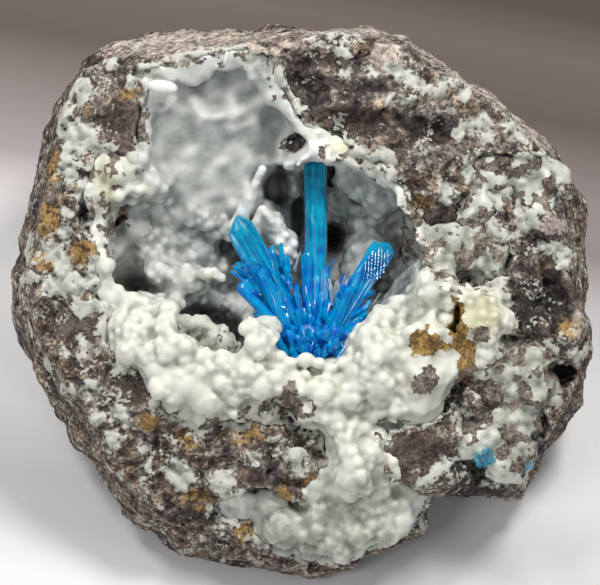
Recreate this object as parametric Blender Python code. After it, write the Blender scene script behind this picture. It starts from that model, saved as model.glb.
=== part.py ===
"""A broken basalt nodule: its hollow, lined with a grape-like zeolite crust, holds a spray of pentagonite.

The specimen is modelled in its own face frame, in millimetres: +X to the right across the broken face, +Y up
that face and +Z out of the hollow. One empty leans that frame back, so that the flat underside lies on z = 0.
"""

import math
import random

import bmesh
import bpy
from mathutils import Euler, Matrix, Vector

MM = 0.001

# The stance: the broken face looks up and forwards, and the base is a plane below the face frame's origin.
FACE_LEAN = math.radians(30)
FACE_HEIGHT = 33.0

# The space between the rock and the crust, and between the crust and the crystals set in it.
GAP = 0.45
CRYSTAL_GAP = 0.4

# How finely overlapping masses are fused into one skin, and the share of that skin's faces that is kept.
ROCK_VOXEL = 1.0
CRUST_VOXEL = 0.75
ROOM_VOXEL = 0.4
ROCK_SHARE = 0.056
BED_SHARE = 0.02
CRUST_SHARE = 0.036
ROOM_SHARE = 0.05

# Where the broken face meets the flanks, round the rock: x, y, z.
FACE_EDGE = (
    (-32.9, 35.1, -2.0), (-27.1, 36.4, -1.0), (-15.5, 37.0, -1.0), (0.0, 39.4, 0.0),
    (13.2, 39.4, -1.0), (23.3, 34.0, 0.0), (31.0, 28.8, 0.0), (38.4, 21.0, -1.0),
    (41.2, 13.6, -2.0), (42.0, 5.0, -2.0), (43.4, -8.0, -1.5), (40.3, -19.8, -5.0),
    (33.3, -29.5, -6.0), (20.2, -31.5, -3.0), (9.3, -38.6, -5.5), (-3.1, -41.0, -5.5),
    (-15.5, -37.6, -4.0), (-22.5, -33.7, -2.5), (-27.9, -27.2, -1.0), (-32.6, -19.0, 0.0),
    (-36.9, -12.8, -0.5), (-41.5, -5.0, -2.5), (-42.8, 0.4, -3.5), (-41.0, 8.9, -3.5),
    (-38.8, 17.4, -3.5), (-37.4, 26.7, -3.5), (-35.3, 32.2, -3.5),
)
# The widest section, behind the face, which gives the rock its many-sided outline.
GIRDLE = (
    (-35.3, 38.1, -22.0), (-24.3, 42.5, -24.0), (0.0, 43.2, -24.0), (13.8, 42.6, -22.0),
    (22.7, 37.6, -20.0), (41.2, 23.1, -18.0), (44.8, 15.8, -16.0), (45.4, 2.0, -16.0),
    (46.4, -9.3, -14.0), (45.0, -17.4, -14.0), (35.0, -33.0, -13.0), (19.5, -39.0, -11.0),
    (6.5, -44.4, -9.5), (-1.6, -45.6, -9.0), (-8.9, -43.3, -10.0), (-14.6, -42.6, -11.0),
    (-25.9, -38.1, -12.0), (-38.8, -20.7, -16.0), (-45.3, -7.7, -20.0), (-47.4, -2.8, -20.0),
    (-45.3, 8.5, -21.0), (-42.4, 20.7, -22.0), (-40.5, 29.5, -22.0),
)
# The hidden back and underside, beyond the plane that the base is cut on.
BACK = (
    (-24.0, 24.0, -57.0), (22.0, 25.0, -57.0), (36.0, 12.0, -49.0), (41.0, -8.0, -38.0),
    (32.0, -28.0, -26.0), (0.0, -40.0, -20.0), (-24.0, -33.0, -24.0), (-40.0, -8.0, -38.0),
    (-38.0, 10.0, -48.0),
)
# Masses that stand out of the broken face: centre, radii.
ROCK_KNOBS = (
    (38.0, 10.5, -2.0, 4.5, 3.2, 2.6),
    (27.9, -16.7, -1.0, 3.6, 3.8, 3.4),
    (40.0, -4.0, -3.0, 4.5, 5.5, 4.0),
    (-9.0, -26.0, -3.0, 13.0, 6.5, 4.6),
    (-2.3, -16.2, -1.0, 2.2, 2.2, 4.2),
    (8.0, 31.0, -3.0, 13.0, 5.0, 4.4),
)
# The wedge of rock at the lower right, with a flat front and a steep right-hand side.
ROCK_WEDGE = (
    (13.6, -20.8, 1.6), (23.4, -21.6, 2.0), (23.8, -29.0, 1.2), (15.6, -31.6, 0.4), (12.2, -26.4, 1.2),
    (31.4, -20.0, -7.0), (31.6, -32.0, -9.0), (14.0, -33.0, -9.0), (10.0, -22.0, -9.0),
)
# Shell-shaped breaks in the face: centre, radii.
ROCK_SCOOPS = (
    (8.1, 26.4, 2.2, 7.0, 2.8, 3.6),
    (21.2, 11.2, 1.6, 4.8, 3.8, 3.4),
    (0.5, 32.6, 2.4, 5.5, 3.0, 3.0),
    (-27.6, 26.0, 1.0, 4.6, 5.6, 2.8),
    (-26.4, -14.8, 1.8, 4.6, 4.0, 2.6),
    (38.4, -2.4, 2.0, 3.6, 4.6, 4.4),
    (40.8, -12.6, -5.0, 4.4, 1.8, 9.0),
    (-6.0, -31.8, 1.8, 9.0, 1.8, 3.6),
    (33.0, 24.0, 2.5, 5.0, 4.0, 3.2),
)
# The missing corner at the lower right: low and high corners of a block.
NOTCH = ((20.0, -62.0, -60.0), (60.0, -32.6, 12.0))
# Half the side of the world-sized block that keeps only what lies above the base.
BLOCK_HALF = 120.0

# The hollow, as overlapping ellipsoids: centre, radii.
HOLLOW = (
    (-12.6, 24.2, 0.5, 12.6, 12.8, 14.0),
    (-20.8, 7.0, -2.0, 11.2, 10.6, 13.0),
    (-9.0, 9.0, -7.0, 13.0, 15.0, 15.0),
    (2.0, 5.0, -6.5, 12.6, 16.0, 19.0),
    (9.8, 6.5, -7.0, 10.6, 12.8, 16.0),
    (4.0, 14.0, -14.0, 12.0, 10.0, 10.0),
    (-13.5, -5.6, -12.5, 8.0, 5.4, 8.0),
    (-27.0, 0.6, -8.0, 6.0, 4.6, 7.0),
    (1.5, -6.8, -5.0, 11.0, 8.0, 9.0),
)
# The plate of crust that crosses the hollow, below which its wall steps back.
PLATE = (
    (-27.0, 17.5, -4.0), (-18.0, 14.2, -6.2), (-12.2, 9.6, -8.8), (-27.0, 23.0, -9.0),
    (-8.0, 21.0, -14.0), (-18.0, 13.6, -8.4), (-12.2, 9.2, -11.0), (-9.0, 16.0, -16.0),
)
# The crust's thickness on the hollow's wall without its lumps, and how far it reaches past the wall.
LINING = 1.6
BACKING = 1.0
# Where the crust spills out of the hollow and over the broken face: centre, radii.
APRON = (
    (-25.0, -6.4, 0.2, 5.4, 5.0, 3.8),
    (-18.6, -9.6, 0.6, 7.4, 7.6, 4.8),
    (-13.4, -15.4, 0.4, 9.6, 6.4, 4.6),
    (-9.0, -7.4, 1.0, 3.8, 4.6, 4.0),
    (-4.4, -15.0, 0.4, 8.0, 5.4, 4.4),
    (4.6, -16.8, 0.0, 8.4, 5.0, 4.4),
    (12.4, -10.4, 0.8, 7.2, 6.6, 5.0),
    (19.2, -9.6, 1.3, 6.6, 7.2, 5.2),
    (18.4, -16.2, 0.2, 6.4, 4.4, 4.2),
    (8.2, -24.6, 0.0, 4.8, 8.8, 4.6),
    (21.2, 0.4, 0.8, 4.0, 4.0, 4.4),
    (28.6, -4.0, -0.4, 4.8, 6.2, 4.4),
    (33.6, -13.0, -3.0, 7.6, 6.2, 5.2),
    (31.6, -22.8, -4.6, 7.2, 7.4, 5.8),
    (25.0, 5.6, -3.4, 8.0, 4.6, 4.6),
    (27.6, 12.4, -1.6, 4.0, 3.4, 3.2),
    (29.6, 18.6, -1.2, 5.0, 3.0, 3.0),
    (36.4, 16.4, -2.2, 4.6, 4.6, 3.4),
    (3.6, -36.8, -6.0, 11.0, 5.2, 5.0),
    (13.0, -34.0, -5.4, 6.2, 5.2, 4.8),
    (-7.6, -33.4, -3.8, 6.6, 1.9, 3.2),
    (-29.6, 15.4, -1.8, 4.4, 7.2, 3.2),
    (-20.8, 33.6, -1.4, 5.0, 1.8, 2.6),
    (-9.0, 36.2, -1.8, 5.4, 1.6, 2.6),
    (3.0, 22.2, -0.6, 4.6, 3.0, 3.0),
    (9.4, 19.4, -1.0, 5.0, 1.9, 2.4),
)
# The bed stands this far above the crust where it spills over the face, and stops this far short beneath it.
BED_RISE = 1.4
BED_SPREAD = 0.3
BED_BITE = 0.5

# Rods of crust that grew on hair-thin cores: foot, tip, foot radius, tip radius.
FINGERS = (
    ((-10.2, 9.6, -10.5), (-5.9, 19.4, -4.6), 1.1, 0.75),
    ((-4.6, 3.4, -10.0), (-3.0, 11.6, -6.6), 1.5, 1.2),
    ((-1.6, 2.6, -11.0), (-2.6, 8.4, -7.6), 1.3, 1.2),
    ((-9.0, -8.0, -3.0), (-8.0, -4.6, 0.6), 1.9, 1.3),
    ((-18.6, 0.6, -8.6), (-12.6, 1.6, -3.6), 2.2, 1.6),
    ((-15.0, 33.6, -1.6), (-12.4, 34.4, 1.0), 0.9, 0.8),
)
FINGER_BEADS = 6

# The rock's broken surface: ridges and hollows, and the finer unevenness on them.
FRACTURE_SIZE = 9.0
FRACTURE_HEIGHT = 2.6
GRAIN_SIZE = 3.0
GRAIN_HEIGHT = 1.0

# The crust's grape-like surface: the size of its lumps and how far they stand out.
LUMP_SIZE = 5.4
LUMP_HEIGHT = 2.2
LUMP_CONTRAST = 2.0
# The mean thickness that the lumps add to the crust.
LUMP_RISE = 1.2

# The three blades: foot, tip, width, thickness, turn about their length, height of the roof-shaped end.
BLADES = (
    ((2.6, -8.6, -5.6), (2.5, 21.2, -8.2), 3.7, 2.6, 8.0, 1.0),
    ((0.4, -7.6, -4.8), (-10.3, 11.7, -1.4), 4.6, 2.4, -12.0, 1.9),
    ((3.8, -8.0, -5.0), (13.6, 7.8, -2.6), 4.6, 2.4, 14.0, 1.0),
)
# Slimmer crystals grown along and beside the blades, in the same terms.
SIDE_BLADES = (
    ((1.2, -8.0, -4.6), (0.9, 6.4, -5.2), 1.6, 1.4, 30.0, 0.6),
    ((4.2, -8.0, -5.2), (4.1, 4.2, -5.4), 1.5, 1.3, -25.0, 0.6),
    ((-1.2, -7.0, -4.2), (-6.4, 4.0, -1.4), 2.4, 1.8, 12.0, 0.8),
    ((-1.0, -7.8, -4.0), (-9.6, 1.2, -1.2), 1.8, 1.4, 24.0, 0.6),
    ((0.0, -7.0, -5.2), (-3.6, 5.2, -4.6), 1.4, 1.1, -30.0, 0.6),
    ((4.6, -7.8, -4.6), (9.4, 3.4, -2.0), 1.6, 1.2, -12.0, 0.6),
    ((4.2, -8.6, -4.0), (7.8, 0.8, -1.6), 1.4, 1.1, 35.0, 0.5),
    ((4.2, -8.8, -5.0), (10.6, -3.4, -4.6), 1.5, 1.0, 10.0, 0.5),
)
ROOT_CENTRE = (1.2, -9.2, -5.0)
ROOT_RADII = (4.6, 1.9, 2.2)
# The needles of the root: how many, how far they fan out, and their lengths and widths.
NEEDLE_COUNT = 16
NEEDLE_FAN = math.radians(82)
NEEDLE_LIFT = (math.radians(15), math.radians(65))
NEEDLE_LENGTH = (4.0, 7.4)
NEEDLE_WIDTH = (0.8, 1.35)
NEEDLE_SEED = 11
# The spikes on the outer side of the left blade: place along it, from foot to tip.
SPIKE_PLACES = (0.34, 0.42, 0.5, 0.58, 0.66)
SPIKE_LENGTH = 3.4
SPIKE_WIDTH = 0.9
# Crystals narrower than this have four sides and a point, wider ones six sides and a roof.
SLENDER = 1.4

# The small blue tufts on the crust: centre, direction they face, spread, needle length, number of needles.
TUFTS = {
    "pentagonite_tuft": ((28.6, -25.6, 0.2), (-0.1, 0.25, 1.0), 1.5, 1.9, 9),
    "pentagonite_edge_tuft": ((35.6, -26.9, -2.2), (0.5, -0.1, 1.0), 0.7, 1.2, 5),
}

TUFT_WIDTH = 0.55

COLOURS = {
    "basalt": (0.085, 0.062, 0.055, 1.0),
    "zeolite": (0.62, 0.63, 0.58, 1.0),
    "pentagonite": (0.0, 0.20, 0.74, 1.0),
}


def clear_scene():
    """Removes whatever the scene holds."""
    for obj in list(bpy.data.objects):
        bpy.data.objects.remove(obj)


def material(name, roughness, transmission=0.0):
    """A plain finish in one of the specimen's colours."""
    made = bpy.data.materials.new(name)
    made.use_nodes = True
    shader = made.node_tree.nodes["Principled BSDF"]
    shader.inputs["Base Color"].default_value = COLOURS[name]
    shader.inputs["Roughness"].default_value = roughness
    shader.inputs["Metallic"].default_value = 0.0
    shader.inputs["Transmission Weight"].default_value = transmission
    return made


def add_object(name, bm, frame, cutter=False):
    """Turns a bmesh into an object in the face frame; a cutter is only a tool for the others."""
    mesh = bpy.data.meshes.new(name)
    bmesh.ops.recalc_face_normals(bm, faces=bm.faces[:])
    bm.to_mesh(mesh)
    bm.free()
    obj = bpy.data.objects.new(name, mesh)
    bpy.context.scene.collection.objects.link(obj)
    obj.parent = frame
    if cutter:
        obj.hide_render = True
        obj.display_type = "WIRE"
    return obj


def add_ellipsoid(bm, centre, radii, subdivisions=3):
    """One ellipsoid, its axes along the frame's."""
    place = Matrix.Translation(Vector(centre) * MM) @ Matrix.Diagonal((*(Vector(radii) * MM), 1.0))
    bmesh.ops.create_icosphere(bm, subdivisions=subdivisions, radius=1.0, matrix=place)


def add_ellipsoids(bm, table, grow=0.0):
    """The ellipsoids of a table, each grown by the same thickness all round."""
    for x, y, z, rx, ry, rz in table:
        add_ellipsoid(bm, (x, y, z), (rx + grow, ry + grow, rz + grow))


def add_finger(bm, foot, tip, foot_radius, tip_radius):
    """A rod of overlapping beads from foot to tip."""
    foot, tip = Vector(foot), Vector(tip)
    for bead in range(FINGER_BEADS + 1):
        share = bead / FINGER_BEADS
        radius = foot_radius + (tip_radius - foot_radius) * share
        add_ellipsoid(bm, foot.lerp(tip, share), (radius,) * 3, subdivisions=2)


def add_hull(bm, points):
    """The convex solid round some points, in millimetres."""
    corners = [bm.verts.new(Vector(point) * MM) for point in points]
    made = bmesh.ops.convex_hull(bm, input=corners)
    loose = {v for v in made["geom_interior"] + made["geom_unused"] if isinstance(v, bmesh.types.BMVert)}
    bmesh.ops.delete(bm, geom=list(loose), context="VERTS")


def add_block(bm, low, high):
    """A box between two corners."""
    corners = [(x, y, z) for x in (low[0], high[0]) for y in (low[1], high[1]) for z in (low[2], high[2])]
    add_hull(bm, corners)


def blade_points(foot, tip, width, thickness, turn, roof, grow=0.0):
    """The corners of a flattened prism with a roof-shaped end, its broad side turned about its length."""
    foot, tip = Vector(foot), Vector(tip)
    along = (tip - foot).normalized()
    out = Vector((0.0, 0.0, 1.0))
    out = (out - along * out.dot(along)).normalized()
    out.rotate(Matrix.Rotation(math.radians(turn), 3, along))
    side = along.cross(out)
    half_width, half_thick = width / 2 + grow, thickness / 2 + grow
    if width < SLENDER:
        section = ((half_width, 0.0), (0.0, half_thick), (-half_width, 0.0), (0.0, -half_thick))
        ridge = (0.0,)
    else:
        flat = 0.7 * half_width
        section = (
            (half_width, 0.0), (flat, half_thick), (-flat, half_thick),
            (-half_width, 0.0), (-flat, -half_thick), (flat, -half_thick),
        )
        ridge = (-0.6 * half_thick, 0.6 * half_thick)
    points = []
    for base, share in ((foot, 0.86), (tip - along * roof, 1.0)):
        points += [base + (side * a + out * b) * share for a, b in section]
    return points + [tip + along * grow + out * b + side * 0.12 * width for b in ridge]


def needle_table():
    """The needles that radiate from the root, as blades."""
    rng = random.Random(NEEDLE_SEED)
    table = []
    for count in range(NEEDLE_COUNT):
        fan = NEEDLE_FAN * (2 * (count + 0.5) / NEEDLE_COUNT - 1)
        lift = rng.uniform(*NEEDLE_LIFT)
        length = rng.uniform(*NEEDLE_LENGTH) * (1.0 - 0.25 * abs(math.sin(fan)))
        width = rng.uniform(*NEEDLE_WIDTH)
        away = Vector((math.sin(fan) * math.cos(lift), math.cos(fan) * math.cos(lift), math.sin(lift)))
        shift = Vector((math.sin(fan) * 2.6, rng.uniform(-1.4, 0.6), rng.uniform(0.0, 1.4)))
        foot = Vector(ROOT_CENTRE) + shift
        table.append((foot, foot + away * length, width, 0.75 * width, rng.uniform(0, 90), 0.5 * width))
    return table


def spike_table():
    """The short spikes down the outer side of the left blade, as blades."""
    rng = random.Random(NEEDLE_SEED + 1)
    foot, tip = Vector(BLADES[1][0]), Vector(BLADES[1][1])
    table = []
    for place in SPIKE_PLACES:
        start = foot.lerp(tip, place)
        away = Vector((-1.0, rng.uniform(-0.35, 0.35), rng.uniform(-0.1, 0.6))).normalized()
        end = start + away * (SPIKE_LENGTH + rng.uniform(-0.2, 0.6))
        table.append((start, end, SPIKE_WIDTH, 0.7 * SPIKE_WIDTH, rng.uniform(0, 90), 0.6))
    return table


def tuft_table(centre, facing, spread, length, count):
    """The needles of a small tuft, as blades, after the short core that they grow from."""
    rng = random.Random(count)
    centre, facing = Vector(centre), Vector(facing).normalized()
    table = [(centre - facing * 0.9, centre + facing * 0.7, 1.6 * spread, 1.1 * spread, 0.0, 0.3)]
    for _ in range(count):
        lean = Vector((rng.uniform(-0.6, 0.6), rng.uniform(-0.3, 0.3), 0.0)) * spread
        away = (facing + lean * 0.55).normalized()
        foot = centre + lean * 0.6 - facing * 0.5
        turn = rng.uniform(0, 90)
        table.append((foot, foot + away * length, TUFT_WIDTH, 0.75 * TUFT_WIDTH, turn, 0.3))
    return table


def add_fusing(obj, voxel):
    """Fuses an object's overlapping pieces into one skin."""
    modifier = obj.modifiers.new("fuse", "REMESH")
    modifier.mode = "VOXEL"
    modifier.voxel_size = voxel * MM


def add_boolean(obj, other, operation, tangled=False):
    """Cuts or joins an object with another; a tangled one has pieces that overlap."""
    modifier = obj.modifiers.new(f"{operation.lower()} {other.name}", "BOOLEAN")
    modifier.operation = operation
    modifier.object = other
    modifier.solver = "EXACT"
    modifier.use_self = tangled


def add_relief(obj, name, kind, size, height, middle):
    """Raises an object's surface along its normals by a texture of its own, in the frame's coordinates."""
    texture = bpy.data.textures.new(name, kind)
    texture.noise_scale = size * MM
    modifier = obj.modifiers.new(name, "DISPLACE")
    modifier.texture = texture
    modifier.texture_coords = "LOCAL"
    modifier.direction = "NORMAL"
    modifier.mid_level = middle
    modifier.strength = height * MM
    return texture


def add_thinning(obj, share):
    """Leaves this share of an object's faces, where they matter most."""
    modifier = obj.modifiers.new("thin out", "DECIMATE")
    modifier.decimate_type = "COLLAPSE"
    modifier.ratio = share


def grown_copy(obj, name, frame, thickness):
    """A cutter with the finished shape of an object, grown by a thickness along its normals."""
    graph = bpy.context.evaluated_depsgraph_get()
    mesh = bpy.data.meshes.new_from_object(obj.evaluated_get(graph))
    made = bpy.data.objects.new(name, mesh)
    bpy.context.scene.collection.objects.link(made)
    made.parent = frame
    made.hide_render = True
    made.display_type = "WIRE"
    swell = made.modifiers.new("swell", "DISPLACE")
    swell.direction = "NORMAL"
    swell.mid_level = 0.0
    swell.strength = thickness * MM
    return made


def cut_base(obj, name, height):
    """Keeps only what lies above a height in the world, whatever the frame's lean."""
    bm = bmesh.new()
    add_block(bm, (-BLOCK_HALF, -BLOCK_HALF, height), (BLOCK_HALF, BLOCK_HALF, 2 * BLOCK_HALF))
    add_boolean(obj, add_object(name, bm, None, cutter=True), "INTERSECT")


def settle(obj):
    """Turns what an object's modifiers make into its own mesh."""
    graph = bpy.context.evaluated_depsgraph_get()
    obj.data = bpy.data.meshes.new_from_object(obj.evaluated_get(graph))
    obj.modifiers.clear()


def keep_largest(obj):
    """Settles an object and drops the crumbs that its cuts left loose."""
    settle(obj)
    bm = bmesh.new()
    bm.from_mesh(obj.data)
    unseen, bodies = set(bm.verts), []
    while unseen:
        body, edge = set(), [unseen.pop()]
        while edge:
            vert = edge.pop()
            body.add(vert)
            near = {e.other_vert(vert) for e in vert.link_edges} & unseen
            unseen -= near
            edge += near
        bodies.append(body)
    bodies.sort(key=len)
    crumbs = [vert for body in bodies[:-1] for vert in body]
    bmesh.ops.delete(bm, geom=crumbs, context="VERTS")
    bm.to_mesh(obj.data)
    bm.free()


def build_bed(frame):
    """The smooth space that the crust fills, which gives it its hidden back."""
    bm = bmesh.new()
    add_ellipsoids(bm, HOLLOW)
    for x, y, z, rx, ry, rz in APRON:
        add_ellipsoid(bm, (x, y, z + BED_RISE), (rx + BED_SPREAD, ry + BED_SPREAD, rz + BED_RISE - BED_BITE))
    bed = add_object("crust_bed", bm, frame, cutter=True)
    add_fusing(bed, ROCK_VOXEL)
    add_thinning(bed, BED_SHARE)
    return bed


def build_rock(frame, bed):
    """The nodule: a many-sided hull with knobs and scoops on its face, a hollow and a flat underside."""
    bm = bmesh.new()
    add_hull(bm, FACE_EDGE + GIRDLE + BACK)
    add_hull(bm, ROCK_WEDGE)
    add_ellipsoids(bm, ROCK_KNOBS)
    rock = add_object("basalt_matrix", bm, frame)
    add_fusing(rock, ROCK_VOXEL)

    bm = bmesh.new()
    add_ellipsoids(bm, ROCK_SCOOPS)
    add_block(bm, *NOTCH)
    scoops = add_object("rock_scoops", bm, frame, cutter=True)
    add_fusing(scoops, ROCK_VOXEL)
    add_boolean(rock, scoops, "DIFFERENCE")
    add_fusing(rock, ROCK_VOXEL)
    fracture = add_relief(rock, "fracture", "CLOUDS", FRACTURE_SIZE, FRACTURE_HEIGHT, 0.35)
    fracture.noise_type = "HARD_NOISE"
    fracture.noise_depth = 1
    add_relief(rock, "grain", "CLOUDS", GRAIN_SIZE, GRAIN_HEIGHT, 0.5)
    add_thinning(rock, ROCK_SHARE)

    add_boolean(rock, grown_copy(bed, "crust_room", frame, GAP), "DIFFERENCE")

    cut_base(rock, "rock_above_base", 0.0)
    keep_largest(rock)
    rock.data.materials.append(material("basalt", 0.85))
    return rock


def build_spray(frame):
    """The spray: three blades, the crystals beside them and the needles of their common root, as one body."""
    table = list(BLADES) + list(SIDE_BLADES) + needle_table() + spike_table()
    bm = bmesh.new()
    for blade in table:
        add_hull(bm, blade_points(*blade))
    spray = add_object("pentagonite_spray", bm, frame)
    bm = bmesh.new()
    add_ellipsoid(bm, ROOT_CENTRE, ROOT_RADII, subdivisions=2)
    root = add_object("spray_root", bm, frame, cutter=True)
    add_boolean(spray, root, "UNION", tangled=True)
    keep_largest(spray)

    bm = bmesh.new()
    for blade in table:
        add_hull(bm, blade_points(*blade, grow=CRYSTAL_GAP))
    add_ellipsoid(bm, ROOT_CENTRE, [radius + CRYSTAL_GAP for radius in ROOT_RADII])
    room = add_object("spray_room", bm, frame, cutter=True)
    add_fusing(room, ROOM_VOXEL)
    add_thinning(room, ROOM_SHARE)
    return spray, room


def build_tuft(name, frame, centre, facing, spread, length, count):
    """A small tuft of needles, and the room that it needs in the crust."""
    table = tuft_table(centre, facing, spread, length, count)
    bm = bmesh.new()
    for blade in table[1:]:
        add_hull(bm, blade_points(*blade))
    tuft = add_object(name, bm, frame)
    bm = bmesh.new()
    add_hull(bm, blade_points(*table[0]))
    core = add_object(f"{name}_core", bm, frame, cutter=True)
    add_boolean(tuft, core, "UNION", tangled=True)
    keep_largest(tuft)

    bm = bmesh.new()
    add_hull(bm, [point for blade in table for point in blade_points(*blade, grow=CRYSTAL_GAP)])
    return tuft, add_object(f"{name}_room", bm, frame, cutter=True)


def build_crust(frame, bed, rooms):
    """The crust: a lining of the hollow that spills over the broken face, lumpy wherever it shows."""
    bm = bmesh.new()
    add_ellipsoids(bm, HOLLOW, grow=BACKING)
    shell = add_object("hollow_shell", bm, frame, cutter=True)
    add_fusing(shell, CRUST_VOXEL)

    bm = bmesh.new()
    add_ellipsoids(bm, HOLLOW, grow=-LINING)
    void = add_object("hollow_void", bm, frame, cutter=True)
    add_fusing(void, CRUST_VOXEL)
    add_boolean(shell, void, "DIFFERENCE")

    bm = bmesh.new()
    add_hull(bm, FACE_EDGE + GIRDLE + BACK)
    add_boolean(shell, add_object("face_trim", bm, frame, cutter=True), "INTERSECT")
    settle(shell)

    bm = bmesh.new()
    bm.from_mesh(shell.data)
    add_ellipsoids(bm, APRON, grow=-LUMP_RISE)
    add_hull(bm, PLATE)
    for finger in FINGERS:
        add_finger(bm, *finger)
    crust = add_object("zeolite_crust", bm, frame)
    add_fusing(crust, CRUST_VOXEL)
    lumps = add_relief(crust, "lumps", "VORONOI", LUMP_SIZE, -LUMP_HEIGHT, 1.0)
    lumps.distance_metric = "DISTANCE_SQUARED"
    lumps.noise_intensity = LUMP_CONTRAST
    add_fusing(crust, CRUST_VOXEL)
    add_thinning(crust, CRUST_SHARE)

    add_boolean(crust, bed, "INTERSECT")
    for room in rooms:
        add_boolean(crust, room, "DIFFERENCE")
    cut_base(crust, "crust_above_base", GAP)
    keep_largest(crust)
    crust.data.materials.append(material("zeolite", 0.6))
    return crust


def centre_over_origin(frame, parts):
    """Shifts the specimen sideways until its box is centred over the origin."""
    bpy.context.view_layer.update()
    corners = [part.matrix_world @ vert.co for part in parts for vert in part.data.vertices]
    for axis in (0, 1):
        values = [corner[axis] for corner in corners]
        frame.location[axis] -= (min(values) + max(values)) / 2


def main():
    """Builds the specimen."""
    clear_scene()
    frame = bpy.data.objects.new("specimen_frame", None)
    bpy.context.scene.collection.objects.link(frame)
    frame.rotation_euler = Euler((FACE_LEAN, 0.0, 0.0))
    frame.location = (0.0, 0.0, FACE_HEIGHT * MM)
    bpy.context.view_layer.update()

    bed = build_bed(frame)
    rock = build_rock(frame, bed)
    spray, spray_room = build_spray(frame)
    crystals, rooms = [spray], [spray_room]
    for name, tuft in TUFTS.items():
        crystal, room = build_tuft(name, frame, *tuft)
        crystals.append(crystal)
        rooms.append(room)
    crust = build_crust(frame, bed, rooms)
    blue = material("pentagonite", 0.12, transmission=0.6)
    for crystal in crystals:
        crystal.data.materials.append(blue)
    centre_over_origin(frame, [rock, crust, *crystals])


main()
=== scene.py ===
"""A pentagonite specimen: blue blades in a crust-lined hollow of a broken basalt nodule, on a pale table.

Lengths are millimetres in the face frame, unless a name says otherwise: +X points right across the broken
face, +Y up that face and +Z towards the viewer. FaceFrame turns them into the model's metres.
"""

import itertools
import logging
import math
import random
from dataclasses import dataclass
from enum import Enum
from typing import NamedTuple

import bmesh
import bpy
import numpy as np
from mathutils import Matrix, Vector
from mathutils.bvhtree import BVHTree


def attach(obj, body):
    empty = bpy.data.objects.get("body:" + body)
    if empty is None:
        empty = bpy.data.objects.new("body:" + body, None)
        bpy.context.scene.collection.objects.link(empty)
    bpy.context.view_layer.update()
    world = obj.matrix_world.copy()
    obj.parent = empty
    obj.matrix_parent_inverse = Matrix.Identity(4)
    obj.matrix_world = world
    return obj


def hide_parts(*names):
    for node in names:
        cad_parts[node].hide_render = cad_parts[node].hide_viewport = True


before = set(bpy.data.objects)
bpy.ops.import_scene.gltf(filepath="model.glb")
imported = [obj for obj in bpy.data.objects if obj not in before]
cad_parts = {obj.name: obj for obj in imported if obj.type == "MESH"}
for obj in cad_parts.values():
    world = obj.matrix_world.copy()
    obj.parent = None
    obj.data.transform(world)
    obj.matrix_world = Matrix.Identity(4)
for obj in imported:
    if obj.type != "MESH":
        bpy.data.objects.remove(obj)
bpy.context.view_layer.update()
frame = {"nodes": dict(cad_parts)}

LOG = logging.getLogger("specimen")
MM = 0.001

Array = np.ndarray
Material = bpy.types.Material
Mesh = bpy.types.Mesh
Node = bpy.types.Node
NodeTree = bpy.types.NodeTree
Object = bpy.types.Object
Socket = bpy.types.NodeSocket
Triple = tuple[float, float, float]


@dataclass(frozen=True)
class FaceFrame:
    """The leaning frame of the broken face: where it stands in the model and how far it leans back."""

    origin: Triple = (-0.0329, -8.113, 33.0)
    lean: float = math.radians(30.0)

    def matrix(self) -> Matrix:
        """The face frame's millimetres to the model's metres."""
        turn = Matrix.Rotation(self.lean, 4, "X")
        return Matrix.Translation(Vector(self.origin) * MM) @ turn @ Matrix.Scale(MM, 4)

    def place(self, x: float, y: float, z: float) -> Vector:
        """A point of the face frame, in the model's metres."""
        return self.matrix() @ Vector((x, y, z))


FACE = FaceFrame()


class Slot(Enum):
    """The material slots."""

    BASALT = "basalt"
    ZEOLITE = "zeolite"
    PENTAGONITE = "pentagonite"


class Patch(NamedTuple):
    """An oval area seen from the front: its centre, half its width and height, and its turn in degrees."""

    x: float
    y: float
    rx: float
    ry: float
    turn: float = 0.0


class Lump(NamedTuple):
    """An ellipsoid: its centre, its half sizes and its turn in degrees as seen from the front."""

    x: float
    y: float
    z: float
    rx: float
    ry: float
    rz: float
    turn: float = 0.0

    def matrix(self) -> Matrix:
        """What turns a ball of radius 1 into the lump.

        Returns:
            The matrix.
        """
        turn = Matrix.Rotation(math.radians(self.turn), 4, "Z")
        size = Matrix.Diagonal((self.rx, self.ry, self.rz, 1.0))
        return Matrix.Translation((self.x, self.y, self.z)) @ turn @ size

    def depth(self, points: Array) -> Array:
        """How deep in the lump each point lies: 1 at its centre, 0 on its skin and less outside it."""
        back = np.array(self.matrix().inverted())
        return 1.0 - np.linalg.norm(points @ back[:3, :3].T + back[:3, 3], axis=1)


class Blade(NamedTuple):
    """A crystal: foot, tip, width, thickness, turn about its length in degrees, and its roof's height."""

    foot: Triple
    tip: Triple
    width: float
    thickness: float
    turn: float
    roof: float


def patches_of(*rows: tuple[float, ...]) -> tuple[Patch, ...]:
    """Patches from rows of their numbers."""
    return tuple(Patch(*row) for row in rows)


def lumps_of(*rows: tuple[float, ...]) -> tuple[Lump, ...]:
    """Lumps from rows of their numbers."""
    return tuple(Lump(*row) for row in rows)


def sliver(
    foot: Vector, tip: Vector, width: float, flatness: float, turn: float, roof: float = 0.5
) -> Blade:
    """A small crystal whose thickness and roof are shares of its width."""
    return Blade(tuple(foot), tuple(tip), width, width * flatness, turn, width * roof)


# Noise

# Large odd numbers that stir lattice places into random-looking ones, and the bits that are kept.
STIR_X, STIR_Y, STIR_Z = 374761393, 668265263, 2147483647
STIR_SEED = 974634777
STIR_LAST = 1274126177
WORD = 0xFFFFFFFF
TEN_BITS = 1023
NOISE_GAIN = 1.7


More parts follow.
